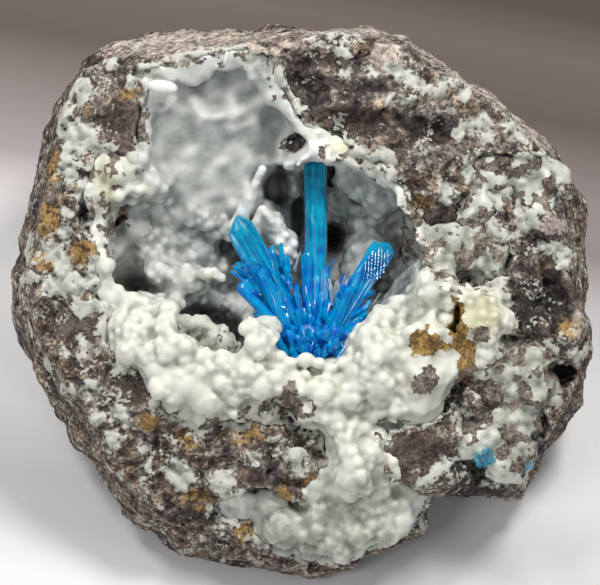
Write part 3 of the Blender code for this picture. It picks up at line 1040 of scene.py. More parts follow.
@dataclass(frozen=True)
class CrystalFinish:
    """Clear azure pentagonite: glassy, streaked along its length, deeper blue at the foot than the tip."""

    name: str = "azure crystal"
    foot: tuple[Triple, Triple] = ((0.0, 0.15, 0.88), (0.0, 0.58, 1.0))
    tip: tuple[Triple, Triple] = ((0.0, 0.20, 0.46), (0.0, 0.60, 0.88))
    see_through: float = 0.45
    absorbed: Triple = (0.0, 0.62, 0.96)
    density: float = 60.0
    shine: float = 0.28
    bending: float = 1.54

    def build(self, shared: Finishes) -> Material:
        """Makes the material from the mesh's grain vector and rise value.

        Args:
            shared: The shader groups.

        Returns:
            The material.
        """
        material, nodes, shader, place = shared.start(self.name)
        along = nodes.attribute("grain", "Vector")
        streak = nodes.noise(nodes.stretch(along, (1.0, 1.0, 0.08)), 0.4, detail=4.0, rough=0.75)
        cloud = nodes.noise(place, 1.8, detail=3.0)
        tone = nodes.ease(nodes.plus(streak, nodes.times(cloud, 0.8)), 0.62, 1.1)
        low = nodes.ramp(tone, (0.0, self.foot[0]), (1.0, self.foot[1]))
        high = nodes.ramp(tone, (0.0, self.tip[0]), (1.0, self.tip[1]))
        nodes.feed(shader.inputs["Base Color"], nodes.blend(nodes.attribute("rise"), low, high))
        nodes.feed(shader.inputs["Roughness"], nodes.ease(streak, 0.3, 0.7, 0.02, 0.09))

        # Some cells of the faces lean, as growth steps do, and flash on their own.
        feeds = {"Vector": nodes.stretch(along, (1.0, 1.0, 0.3)), "Scale": 3.0}
        steps = nodes.add("ShaderNodeTexVoronoi", feeds).outputs["Color"]
        channels = nodes.add("ShaderNodeSeparateXYZ", {"Vector": steps}).outputs
        share = nodes.ease(channels["Z"], 0.76, 0.80, 0.0, 1.15)
        lean = nodes.scaled(nodes.vector("SUBTRACT", steps, (0.5, 0.5, 0.5)), share)
        straight = nodes.add("ShaderNodeNewGeometry").outputs["Normal"]
        normal = nodes.vector("NORMALIZE", nodes.vector("ADD", straight, lean))
        feeds = {"Strength": 0.6, "Distance": MM, "Height": nodes.times(streak, 0.05), "Normal": normal}
        nodes.feed(shader.inputs["Normal"], nodes.add("ShaderNodeBump", feeds).outputs["Normal"])
        shader.inputs["Specular IOR Level"].default_value = self.shine
        shader.inputs["Transmission Weight"].default_value = self.see_through
        shader.inputs["IOR"].default_value = self.bending
        feeds = {"Color": (*self.absorbed, 1.0), "Density": self.density}
        absorb = nodes.add("ShaderNodeVolumeAbsorption", feeds)
        output = material.node_tree.nodes["Material Output"]
        nodes.feed(output.inputs["Volume"], absorb.outputs["Volume"])
        return material


FROST = (0.80, 0.90, 0.94)
TEAL = (0.02, 0.34, 0.56)
SKY_BLUE = (0.16, 0.60, 0.78)


# Geometry trees


def geometry_tree(name: str, inputs: dict[str, tuple[str, object]]) -> tuple[Nodes, Socket, Socket]:
    """An empty geometry tree.

    Args:
        name: Its name.
        inputs: For each input after the geometry, its socket type and its default.

    Returns:
        The builder for its nodes, and the sockets of its input node and of its output node.
    """
    tree = bpy.data.node_groups.new(name, "GeometryNodeTree")
    tree.interface.new_socket("Geometry", in_out="INPUT", socket_type="NodeSocketGeometry")
    for key, (kind, value) in inputs.items():
        socket = tree.interface.new_socket(key, in_out="INPUT", socket_type=kind)
        if value is not None:
            socket.default_value = value
    tree.interface.new_socket("Geometry", in_out="OUTPUT", socket_type="NodeSocketGeometry")
    nodes = Nodes(tree)
    return nodes, nodes.add("NodeGroupInput").outputs, nodes.add("NodeGroupOutput").inputs


def grow(obj: Object, tree: NodeTree, **inputs: object) -> None:
    """Runs a geometry tree on an object and keeps the result as its mesh.

    Args:
        obj: The object.
        tree: The tree.
        inputs: Its inputs, named with underscores for spaces.
    """
    modifier = obj.modifiers.new(tree.name, "NODES")
    modifier.node_group = tree
    for key, value in inputs.items():
        modifier[tree.interface.items_tree[key.replace("_", " ")].identifier] = value
    settle(obj)


def field(nodes: Nodes, name: str, kind: str = "FLOAT") -> Socket:
    """A value that the mesh keeps, as a field."""
    return nodes.add("GeometryNodeInputNamedAttribute", {"Name": name}, data_type=kind).outputs["Attribute"]


def between(nodes: Nodes, low: object, high: object, seed: object) -> Socket:
    """A random number for each point.

    Args:
        nodes: The tree's builder.
        low: The smallest number.
        high: The largest.
        seed: Picks one series of many.

    Returns:
        The number, as a field.
    """
    node = nodes.add("FunctionNodeRandomValue", data_type="FLOAT")
    for socket, value in zip((s for s in node.inputs if s.enabled), (low, high)):
        nodes.feed(socket, value)
    nodes.feed(node.inputs["Seed"], seed)
    return node.outputs["Value"] if node.outputs["Value"].enabled else node.outputs[1]


def scattered(nodes: Nodes, given: Socket, density: object, factor: str) -> Node:
    """Adds the points that a tree sets its shapes on.

    Args:
        nodes: The tree's builder.
        given: The sockets of its input node.
        density: The most points for a square millimetre.
        factor: The mesh's value that allows them.

    Returns:
        The node.
    """
    feeds = {
        "Mesh": given["Geometry"], "Distance Min": given["Spacing"], "Density Max": density,
        "Density Factor": field(nodes, factor), "Seed": given["Seed"],
    }
    return nodes.add("GeometryNodeDistributePointsOnFaces", feeds, distribute_method="POISSON")


def put_out(nodes: Nodes, geometry: Socket, given: Socket, made: Socket) -> None:
    """Gives a tree's result its material and puts it out."""
    feeds = {"Geometry": geometry, "Material": given["Material"]}
    nodes.feed(made["Geometry"], nodes.add("GeometryNodeSetMaterial", feeds).outputs[0])


def grape_tree() -> NodeTree:
    """A tree that sets round lumps into a surface, where the mesh's bare value allows them.

    Returns:
        The tree.
    """
    number, whole = "NodeSocketFloat", "NodeSocketInt"
    inputs = {
        "Spacing": (number, 1.7), "Smallest": (number, 0.9), "Largest": (number, 2.0), "Sink": (number, 0.5),
        "Seed": (whole, 1), "Material": ("NodeSocketMaterial", None),
    }
    nodes, given, made = geometry_tree("crust grapes", inputs)
    scatter = scattered(nodes, given, 4.0, "bare")
    share = nodes.math("POWER", between(nodes, 0.0, 1.0, given["Seed"]), 1.6)
    span = nodes.less(given["Largest"], given["Smallest"])
    pick = nodes.math("MULTIPLY_ADD", share, span, given["Smallest"])
    radius = nodes.times(pick, field(nodes, "girth"))
    drop = nodes.times(nodes.times(radius, given["Sink"]), -1.0)
    offset = nodes.scaled(scatter.outputs["Normal"], drop)
    sunk = nodes.add("GeometryNodeSetPosition", {"Geometry": scatter.outputs["Points"], "Offset": offset})
    ball = nodes.add("GeometryNodeMeshIcoSphere", {"Radius": 1.0, "Subdivisions": 2})
    feeds = {"Points": sunk.outputs["Geometry"], "Instance": ball.outputs["Mesh"], "Scale": radius}
    grapes = nodes.add("GeometryNodeInstanceOnPoints", feeds)
    real = nodes.add("GeometryNodeRealizeInstances", {"Geometry": grapes.outputs["Instances"]})
    joined = nodes.add("GeometryNodeJoinGeometry")
    nodes.feed(joined.inputs[0], real.outputs["Geometry"])
    nodes.feed(joined.inputs[0], given["Geometry"])
    put_out(nodes, joined.outputs[0], given, made)
    return nodes.tree


def needle_tree() -> NodeTree:
    """A tree that grows slender crystals from a surface, where the mesh's sprout value allows them.

    Returns:
        The tree.
    """
    number, whole = "NodeSocketFloat", "NodeSocketInt"
    inputs = {
        "Spacing": (number, 0.5), "Density": (number, 2.0), "Shortest": (number, 2.0),
        "Longest": (number, 5.0), "Thinnest": (number, 0.2), "Thickest": (number, 0.5),
        "Fan": (number, 0.8), "Stray": (number, 0.4), "Seed": (whole, 1),
        "Material": ("NodeSocketMaterial", None),
    }
    nodes, given, made = geometry_tree("needle growth", inputs)
    scatter = scattered(nodes, given, given["Density"], "sprout")
    stray = nodes.add("FunctionNodeRandomValue", data_type="FLOAT_VECTOR")
    nodes.feed(stray.inputs[0], (-1.0, -1.0, -1.0))
    nodes.feed(stray.inputs[1], (1.0, 1.0, 1.0))
    nodes.feed(stray.inputs["Seed"], given["Seed"])
    fan = nodes.scaled(field(nodes, "fan", "FLOAT_VECTOR"), given["Fan"])
    jitter = nodes.scaled(stray.outputs[0], given["Stray"])
    aim = nodes.vector("ADD", nodes.vector("ADD", scatter.outputs["Normal"], fan), jitter)
    turned = nodes.add("FunctionNodeAlignRotationToVector", {"Vector": aim}, axis="Z")
    spin = between(nodes, 0.0, math.tau, given["Seed"])
    spun = nodes.add("FunctionNodeAxisAngleToRotation", {"Axis": (0.0, 0.0, 1.0), "Angle": spin})
    rotation = nodes.add("FunctionNodeRotateRotation", rotation_space="LOCAL")
    nodes.feed(rotation.inputs[0], turned.outputs[0])
    nodes.feed(rotation.inputs[1], spun.outputs[0])
    feeds = {"Vertices": 6, "Radius Top": 0.42, "Radius Bottom": 0.5, "Depth": 0.86}
    shaft = nodes.add("GeometryNodeMeshCone", feeds)
    feeds = {"Vertices": 6, "Radius Top": 0.06, "Radius Bottom": 0.42, "Depth": 0.14}
    roof = nodes.add("GeometryNodeMeshCone", feeds)
    feeds = {"Geometry": roof.outputs["Mesh"], "Translation": (0.0, 0.0, 0.86)}
    lifted = nodes.add("GeometryNodeTransform", feeds)
    needle = nodes.add("GeometryNodeJoinGeometry")
    nodes.feed(needle.inputs[0], shaft.outputs["Mesh"])
    nodes.feed(needle.inputs[0], lifted.outputs["Geometry"])
    width = between(nodes, given["Thinnest"], given["Thickest"], nodes.plus(given["Seed"], 7.0))
    length = between(nodes, given["Shortest"], given["Longest"], nodes.plus(given["Seed"], 3.0))
    size = nodes.add("ShaderNodeCombineXYZ", {"X": width, "Y": nodes.times(width, 0.6), "Z": length})
    feeds = {"Points": scatter.outputs["Points"], "Instance": needle.outputs[0], "Scale": size.outputs[0]}
    grown = nodes.add("GeometryNodeInstanceOnPoints", feeds)
    nodes.feed(grown.inputs["Rotation"], rotation.outputs[0])
    real = nodes.add("GeometryNodeRealizeInstances", {"Geometry": grown.outputs["Instances"]})
    put_out(nodes, real.outputs[0], given, made)
    return nodes.tree


# The specimen


@dataclass(frozen=True)
class Basalt:
    """The broken nodule of basalt: its fractured skin and where its colours lie."""

    voxel: float = 0.42
    smooth_rounds: int = 5
    most_triangles: int = 190000
    base_band: float = 1.2
    cover_reach: float = 2.4
    face_radius: float = 33.0
    flow_radius: float = 42.0
    chip_size: float = 6.5
    chip_height: float = 0.75
    flake_size: float = 2.3
    flake_height: float = 0.42
    crumb_size: float = 1.1
    crumb_height: float = 0.2
    pit_size: float = 3.4
    pit_radius: float = 0.75
    pit_depth: float = 0.5
    groove_height: float = 0.3
    white_height: float = 0.25
    dent_depth: float = 0.8

    WHITE = patches_of(
        (-34.1, 31.4, 1.5, 2.9, -12), (-36.6, 26.8, 1.0, 2.4, 10), (-34.4, 24.4, 3.2, 3.0),
        (-29.8, 35.3, 1.4, 1.1), (-31.5, 34.6, 0.5, 1.5), (-26.0, 33.0, 0.9, 0.9), (-35.6, 19.0, 1.5, 3.0),
        (-36.3, 11.3, 0.7, 2.5), (-42.7, 6.7, 0.8, 2.2, -8), (-39.0, 6.8, 1.8, 1.6), (-37.1, 4.8, 1.1, 3.9),
        (-41.8, 2.4, 1.9, 1.3), (-36.4, 0.9, 4.3, 1.7), (-32.6, 2.0, 0.9, 2.3), (-29.2, -2.4, 1.9, 2.4),
        (-33.2, -2.4, 1.5, 1.4), (-29.5, -6.0, 1.5, 2.3), (-36.4, -9.2, 1.1, 1.1), (-34.1, -8.1, 0.7, 1.3),
        (-39.5, -11.6, 0.6, 1.3), (-27.6, -11.8, 1.7, 1.2), (-33.3, -14.8, 1.0, 1.2),
        (-31.6, -15.4, 0.7, 0.8), (-35.7, -14.3, 0.8, 1.4), (-27.6, -18.5, 1.0, 1.0),
        (-29.0, -22.6, 1.25, 2.5), (-31.6, -19.8, 0.8, 0.7), (-23.7, -27.5, 1.2, 1.5),
        (-18.6, -28.2, 2.5, 2.1), (-12.4, -30.2, 1.8, 2.1), (-24.6, -25.2, 0.5, 0.9),
        (-27.9, -29.1, 0.6, 0.9), (7.4, 37.9, 1.5, 1.9), (3.4, 39.9, 2.0, 0.8), (11.2, 34.2, 1.2, 1.3),
        (7.0, 34.2, 0.7, 0.6), (17.4, 32.6, 4.2, 1.0, -30), (16.2, 29.4, 2.0, 1.2),
        (22.9, 31.7, 1.4, 1.0, -30), (25.6, 30.6, 1.1, 0.8), (23.2, 28.4, 0.6, 0.6), (26.0, 26.0, 0.8, 0.8),
        (28.6, 27.4, 1.0, 1.6), (33.2, 25.5, 2.3, 0.7, -40), (29.4, 24.0, 0.8, 0.6), (24.6, 24.1, 0.5, 0.8),
        (26.2, 19.4, 1.4, 2.2), (31.8, 17.6, 1.8, 2.2), (39.6, 18.4, 2.8, 2.9), (35.6, 13.2, 2.4, 3.4),
        (15.5, 15.6, 1.2, 3.0), (17.4, 12.4, 0.8, 0.7), (19.1, 10.0, 0.7, 0.6), (22.6, 15.8, 1.6, 1.0),
        (43.4, -9.4, 2.2, 1.1), (-0.6, -25.8, 1.4, 2.2), (-1.4, -21.4, 1.2, 1.2), (-7.6, -25.2, 1.8, 1.2),
        (26.6, -28.4, 1.4, 0.9), (30.0, 8.0, 3.4, 2.6), (38.6, 7.2, 3.0, 1.2), (41.2, 5.8, 1.6, 1.6),
        (19.6, -28.8, 4.6, 0.4, 35),
    )
    RUST = patches_of(
        (-38.0, 19.8, 1.6, 2.5), (-39.0, 10.9, 1.8, 2.9), (-40.0, 5.0, 2.1, 2.0), (-33.4, 6.3, 2.9, 2.0),
        (-33.4, 27.9, 0.7, 0.9), (-35.4, 27.6, 0.9, 1.6), (-32.6, 19.4, 0.9, 1.4), (-34.0, 15.8, 0.9, 1.1),
        (-8.5, -21.8, 2.7, 2.0), (-8.2, -37.2, 2.3, 2.0), (-23.6, -19.9, 1.3, 1.3), (37.2, -9.0, 1.8, 1.2),
        (14.9, -19.4, 1.0, 1.2), (27.2, 16.5, 1.1, 0.9), (30.4, 18.7, 0.5, 1.0), (-17.8, -22.7, 1.6, 1.2),
        (1.6, -29.2, 1.0, 1.1), (-2.6, -31.6, 1.2, 1.6), (-39.6, -10.8, 1.0, 1.3), (-34.9, 0.6, 1.2, 1.4),
        (41.8, -5.6, 1.9, 2.0), (18.6, 14.0, 1.4, 1.0), (-26.6, 30.8, 1.2, 0.8), (-15.4, -32.0, 2.4, 1.4),
    )
    # Dark rock, and shaded places painted dark: a side facet, a cavity and hollows under overhangs.
    DARK_AND_SHADE = patches_of(
        (0.8, 31.8, 4.2, 3.6), (8.2, 32.2, 7.0, 1.6, -6), (37.4, -1.6, 6.2, 5.2), (27.4, -28.0, 3.6, 5.2),
        (18.0, 26.4, 4.2, 1.6, -20), (-12.6, -35.4, 5.0, 1.2, -16), (38.6, -12.2, 3.6, 2.2),
        (-5.2, -28.6, 3.6, 1.6), (22.0, 25.0, 3.4, 2.4),
    )
    # Gaps in shade, painted dark.
    SHADED_GAPS = patches_of((-1.0, 23.2, 2.6, 1.5, 10), (5.0, 17.6, 2.0, 1.4))
    SLAB = patches_of(
        (-27.4, 26.0, 3.2, 4.8), (8.4, 26.6, 5.6, 2.2, -8), (20.4, 11.4, 5.0, 2.7, -35),
        (-26.4, -15.0, 3.0, 3.0), (39.0, 10.6, 3.6, 2.4), (18.8, -26.0, 5.2, 4.4, -15),
        (-33.6, -5.4, 3.6, 2.4), (-34.4, 6.6, 2.0, 1.4),
    )
    DENTS = patches_of(
        (40.0, -2.0, 2.6, 4.4), (1.0, 31.6, 3.4, 2.6), (28.6, -27.0, 2.4, 4.6), (-11.0, -27.4, 3.2, 2.0),
        (9.6, 31.6, 5.0, 1.4, -10), (21.6, 24.6, 2.4, 1.8), (38.6, -12.2, 2.6, 1.4),
        (-5.6, -31.4, 3.0, 1.2), (33.0, 20.4, 2.4, 1.2), (-33.0, 11.0, 1.4, 3.0), (-38.0, -3.4, 1.6, 2.4),
    )
    # Pale bands along the top edges and the upper right: partly the rock's pale streaks, partly painted
    # light where light from above falls.
    PALE = patches_of(
        (-16.0, 39.2, 16.0, 3.0), (10.0, 41.4, 10.0, 1.2), (25.0, 34.6, 10.0, 1.8, -36),
        (36.0, 26.0, 8.0, 1.6, -40), (13.4, 36.2, 2.6, 2.6), (39.2, 10.6, 2.6, 1.6), (43.0, -4.2, 1.4, 3.0),
    )

    def build(self, node: Object, crust: BVHTree, finish: Material) -> None:
        """Makes the rock's piece, which is coarser where it is hidden or far from the broken face.

        Args:
            node: The rock's CAD node.
            crust: The crust's CAD node, whose cover the rock's hidden faces lie under.
            finish: The rock's material.
        """
        rock = working_copy(node, "basalt_rock")
        fuse(rock, self.voxel)
        mesh = rock.data
        near = Neighbours(mesh)
        move(mesh, near.smooth(places(mesh), self.smooth_rounds))
        points, normals = places(mesh), facing(mesh)
        on_base = np.clip(1.0 - self.heights(points) / self.base_band, 0.0, 1.0)
        hidden = covered(points, normals, crust, self.cover_reach)
        radius = np.hypot(points[:, 0], points[:, 1])
        beside = np.clip((radius - self.face_radius) / 4.0, 0.0, 1.0)
        flank = np.clip((0.74 - normals[:, 2]) / 0.3, 0.0, 1.0) * beside
        angle = np.arctan2(-points[:, 1], -points[:, 0])
        flow = np.stack([angle * self.flow_radius, points[:, 2], radius], axis=1)
        masks = self.masks(points, crust, hidden)
        calm = np.clip(masks["slab"] + 0.6, 0.0, 1.0) * 0.75
        relief = self.relief(points, flow, flank, calm)
        knobbly = 1.0 + 0.8 * ripple(points, 1.5, 77)
        raised = np.clip(masks["white"] * 1.6, 0.0, 1.0) * self.white_height * knobbly
        step = (relief + raised) * (1.0 - on_base)
        move(mesh, points + normals * step[:, None])
        for name, values in masks.items():
            store(mesh, name, values)
        store(mesh, "flank", flank)
        store(mesh, "flow", flow)
        # How deep each point lies in a crease, which the material paints as shade.
        store(mesh, "crease_shade", hollowness(mesh, near, 6, 0.22))
        aside = np.clip((radius - 46.0) / 6.0, 0.0, 1.0) + np.clip((-12.0 - points[:, 2]) / 10.0, 0.0, 1.0)
        weights = np.clip(np.maximum(hidden, on_base) + 0.12 + 0.5 * aside, 0.0, 1.0)
        thin_out(rock, weights, self.most_triangles)
        hand_in(rock, finish, Slot.BASALT, "basalt_matrix")

    def masks(self, points: Array, crust: BVHTree, hidden: Array) -> dict[str, Array]:
        """Where the rock's colours lie, with painted shade under the crust, deep in the hollow and in shaded
        places, and painted light on the pale top edges.

        Args:
            points: Places in the face frame.
            crust: The crust's CAD node, beside which the rock is frosted white.
            hidden: Whether the crust covers each point.

        Returns:
            For each colour, how far inside its areas each point lies.
        """
        fray = layered(points, 3.0, 31, octaves=3, keep=0.6) * 0.9
        slab = patch_depth(points, self.SLAB, fray * 0.6)
        # Rock deep in the hollow and in the gaps is painted dark as shade.
        within = np.hypot(points[:, 0], points[:, 1]) < self.face_radius - 1.0
        deep = np.clip((-6.0 - points[:, 2]) / 3.0, 0.0, 1.0) * within
        deep = np.maximum(deep, share_in(points, self.SHADED_GAPS, 0.5, fray=fray * 0.5))
        frost = 1.1 - clearance(points, crust, 3.0) + 1.5 * layered(points, 2.0, 33, octaves=3, keep=0.6)
        frost -= 4.0 * deep + 1.6 * np.clip(slab + 0.6, 0.0, 1.0)
        white = patch_depth(points, self.WHITE, fray * 1.3)
        dark_and_shade = patch_depth(points, self.DARK_AND_SHADE, fray)
        return {
            "white": np.maximum(white, np.clip(frost, -2.0, 2.0)),
            "rust": patch_depth(points, self.RUST, fray),
            # Rock under the crust and deep in the hollow is painted dark as shade.
            "dark_and_shade": np.maximum(dark_and_shade, np.maximum(hidden, deep) * 4.0 - 2.0),
            "slab": slab,
            "pale": patch_depth(points, self.PALE, fray),
        }

    def heights(self, points: Array) -> Array:
        """How far each point lies above the flat base."""
        matrix = np.array(FACE.matrix())
        return (points @ matrix[2, :3] + matrix[2, 3]) / MM

    def relief(self, points: Array, flow: Array, flank: Array, calm: Array) -> Array:
        """How far the fractured skin stands out at each point.

        Args:
            points: Places in the face frame.
            flow: Places along and across the flanks.
            flank: How much each point belongs to a flank.
            calm: How much smoother than the rest it is.

        Returns:
            Millimetres along the normal.
        """
        bent = points + np.stack([ripple(points, 2.6, seed) for seed in (3, 4, 5)], axis=1) * 0.7
        chips = facets(bent, self.chip_size, 11) * self.chip_height
        flakes = facets(bent, self.flake_size, 12) * self.flake_height
        crumbs = layered(points, self.crumb_size, 13, octaves=2, keep=0.6) * self.crumb_height
        distance, _, marks = cells(bent, self.pit_size, 14)
        inside = np.clip(1.0 - (distance / (self.pit_radius * (0.5 + marks[:, 0]))) ** 2, 0.0, 1.0)
        pits = np.sqrt(inside) * self.pit_depth * (marks[:, 1] > 0.55)
        grooves = layered(flow * np.array([0.1, 1.0, 1.0]), 1.3, 15, octaves=2) * self.groove_height * flank
        rough = (chips + flakes + crumbs) * (1.0 - 0.72 * flank) - pits * (1.0 - flank)
        dents = np.clip(patch_depth(points, self.DENTS) + 0.4, 0.0, 2.0)
        return rough * (1.0 - calm) + grooves - dents * self.dent_depth


@dataclass(frozen=True)
class Crust:
    """The zeolite crust: its lumps of several sizes, its rods, and where rock-coloured skin covers it."""

    base_voxel: float = 0.6
    lump_voxel: float = 0.42
    last_voxel: float = 0.28
    most_triangles: int = 372000
    embed: float = 0.9
    inset: float = 1.0
    rod_room: float = 1.5
    rod_beads: int = 25

    WALL = patches_of((-13.0, 26.0, 13.0, 13.0), (-20.0, 15.0, 7.0, 6.0), (9.0, 9.0, 6.0, 12.0))
    LIP = patches_of(
        (2.0, 22.0, 6.0, 4.0), (8.0, 18.6, 8.0, 3.2, -10), (-14.0, 33.0, 12.0, 5.0), (8.2, -25.4, 5.4, 8.0),
        (32.0, 15.0, 10.0, 6.0), (-28.4, 16.0, 4.0, 8.0), (-25.0, 30.0, 3.0, 6.0), (27.0, 6.0, 8.0, 5.0),
    )
    RIM = patches_of(
        (-24.0, 26.0, 2.6, 8.0), (-14.0, 34.6, 11.0, 3.0), (-3.6, 29.0, 2.8, 7.0, 25),
        (-29.0, 17.0, 3.0, 7.0), (-27.6, 3.0, 2.4, 8.0), (18.0, 10.6, 4.0, 7.0), (33.0, 15.0, 11.0, 7.0),
        (10.6, 19.4, 5.0, 2.4, -12), (-18.0, -19.0, 8.0, 2.2, -12), (-4.0, -17.6, 6.0, 2.4, 8),
        (15.4, 15.2, 3.2, 3.2), (-9.6, -33.9, 3.4, 2.6),
    )
    SMOOTH = patches_of((-13.6, 25.0, 11.0, 12.0), (20.5, -12.0, 4.5, 9.0), (3.6, 20.6, 5.0, 3.6))
    # The hollow's upper-left wall, which the material paints darker as shade.
    SHADED_WALL = patches_of((-14.0, 24.6, 13.0, 13.2), (-3.0, 30.0, 4.0, 8.0, 25))
    MOTTLED = patches_of(
        (-25.0, 27.0, 1.6, 8.0), (-14.0, 36.4, 11.0, 1.4), (-2.6, 31.0, 1.6, 6.0, 25),
        (33.0, 15.0, 11.0, 7.0), (18.6, 11.0, 3.0, 7.0), (27.0, 4.6, 8.0, 5.0), (36.0, -17.0, 8.0, 12.0),
        (10.6, 20.0, 5.6, 2.0, -12), (27.0, -17.0, 3.6, 6.0), (-30.0, 14.0, 3.0, 8.0),
        (-17.0, -20.6, 9.0, 1.8, -10), (-4.0, -18.6, 6.0, 2.0, 8), (14.0, -21.0, 4.0, 1.4),
    )
    BIG = patches_of(
        (-12.0, -14.0, 14.0, 9.0), (6.0, -18.0, 9.0, 8.0), (3.0, -36.5, 12.0, 6.0),
        (34.0, -17.0, 9.0, 13.0), (8.0, -26.0, 5.0, 8.0),
    )
    SKIN = patches_of(
        (19.0, -7.5, 2.4, 2.2, 20), (24.6, -6.8, 1.6, 2.6, 20), (26.0, -10.6, 1.5, 2.8),
        (25.0, -15.0, 1.4, 3.0, -15), (23.9, -18.2, 1.0, 1.6), (22.2, -8.0, 2.0, 0.7),
        (24.3, -3.4, 0.6, 2.4, 8),
    )
    BROWN = patches_of(
        (19.2, -13.6, 1.9, 2.2), (28.4, -16.2, 3.0, 2.8), (28.0, -6.4, 1.6, 1.4), (42.0, -14.2, 1.0, 2.2),
        (41.0, -19.6, 1.2, 2.6), (3.6, 21.0, 0.7, 0.9), (31.0, 13.6, 1.2, 1.2), (38.4, 17.4, 0.9, 0.8),
        (-1.4, -16.4, 1.5, 2.2, 15), (-5.0, -18.0, 1.7, 0.9), (-12.4, -21.6, 2.6, 0.8),
        (25.6, -20.6, 1.0, 1.2), (12.0, 20.4, 1.2, 0.8), (31.4, -10.4, 1.2, 0.8), (22.6, 2.6, 0.8, 0.6),
        (37.2, -25.4, 0.9, 1.4),
    )
    YELLOW = patches_of((-30.2, 16.4, 1.6, 3.6), (28.0, -3.6, 3.0, 3.6), (7.0, 22.0, 2.0, 1.4))
    CHALK = patches_of((-3.0, 8.4, 3.0, 4.6), (3.0, 20.6, 5.6, 3.2), (-21.2, 31.6, 2.4, 1.6))
    FILLS = lumps_of(
        (-20.6, 10.6, -13.6, 5.4, 4.6, 4.8), (-16.4, 6.4, -14.2, 4.6, 3.8, 4.2),
        (-23.6, 6.2, -11.6, 4.4, 3.6, 3.8), (-27.0, 11.4, -9.4, 3.6, 4.4, 4.0),
        (-13.6, 11.6, -13.0, 3.6, 3.4, 4.6), (-12.6, 3.4, -14.6, 2.8, 2.2, 3.4),
        (-21.0, 3.6, -9.6, 3.6, 1.6, 3.4), (-17.0, 2.6, -9.0, 3.0, 1.5, 3.4),
        (-16.0, 23.0, -13.0, 14.0, 14.0, 8.0), (-14.0, 30.0, -8.6, 12.4, 7.4, 6.2),
        (-16.0, 17.4, -8.4, 9.0, 4.6, 1.5, -28.0), (9.6, -31.4, -3.6, 6.0, 4.2, 3.6),
        (4.0, -31.0, -4.4, 5.0, 3.0, 3.2), (12.6, -27.6, -1.6, 3.4, 4.4, 2.8),
        (8.6, 6.4, -14.0, 2.2, 2.2, 5.0), (10.8, 4.0, -13.6, 2.0, 2.0, 5.0),
        (7.0, 3.4, -14.0, 1.7, 1.7, 4.5), (12.6, 7.8, -13.4, 1.9, 2.2, 5.0),
        (9.6, 10.4, -16.0, 2.4, 2.2, 5.0), (8.4, 0.8, -13.6, 1.8, 1.5, 4.4),
        (-1.6, 16.6, -17.0, 2.2, 3.0, 5.0), (6.6, 14.8, -17.4, 2.6, 2.8, 5.0),
        (12.0, 13.0, -14.4, 2.4, 2.8, 5.0), (-6.4, 4.6, -15.0, 2.4, 2.4, 4.6),
        (-4.5, 10.8, -9.4, 1.9, 2.3, 3.6), (-2.5, 7.8, -10.4, 2.7, 2.7, 4.0),
        (-1.6, 5.4, -11.4, 2.1, 2.3, 4.6), (-3.6, 7.5, -14.0, 2.6, 3.2, 6.0),
        (-12.0, 34.6, -3.0, 3.0, 2.0, 2.4), (10.2, 16.4, -10.0, 3.4, 2.6, 3.6),
        (13.6, 14.8, -9.0, 2.6, 2.6, 3.4), (7.0, 17.4, -12.0, 3.0, 2.4, 4.0),
    )
    HOLES = lumps_of(
        (-15.4, -5.2, -3.4, 5.0, 3.4, 10.0, -20.0), (-11.2, -7.4, -3.4, 4.6, 3.6, 10.0, -30.0),
        (-13.4, -1.8, -0.6, 6.4, 4.4, 8.4, -12.0), (-8.0, -0.2, 1.0, 3.4, 4.6, 6.4),
        (-26.0, 1.6, -6.0, 3.6, 1.2, 4.6), (5.2, 9.0, -20.0, 1.5, 2.0, 6.0),
        (24.3, -4.0, 1.0, 0.45, 2.6, 3.0), (2.8, 16.2, -3.6, 7.0, 3.4, 7.6),
        (-2.4, 30.6, 2.2, 2.0, 7.0, 3.6, 25.0), (-4.2, 23.0, -1.0, 2.7, 5.2, 7.6),
        (-3.8, 16.6, -4.0, 2.5, 3.8, 9.0), (-1.2, 23.2, -1.0, 2.1, 1.0, 7.0, 10.0),
        (40.6, -12.2, -2.0, 2.2, 1.2, 4.0), (24.0, -0.6, 2.0, 2.4, 0.8, 2.0),
        (-0.8, -24.2, 1.0, 3.9, 4.9, 6.8), (19.0, -4.4, 6.0, 3.4, 0.8, 3.0, 20.0),
    )
    DEEP_HOLES = lumps_of(
        (-15.2, -4.8, -3.0, 3.2, 1.5, 9.0, -20.0), (-11.5, -7.0, -3.0, 3.0, 2.2, 9.0, -30.0),
        (1.6, -8.6, 1.2, 6.0, 2.5, 4.6), (-21.2, 28.8, 0.2, 2.2, 1.5, 2.6),
        (-1.2, 23.2, -1.0, 1.8, 0.8, 7.0, 10.0), (40.2, -11.8, -1.0, 2.0, 1.2, 4.0),
        (37.0, -22.4, -1.0, 1.3, 0.8, 4.0), (24.4, -3.6, 1.0, 0.42, 2.2, 3.0),
    )
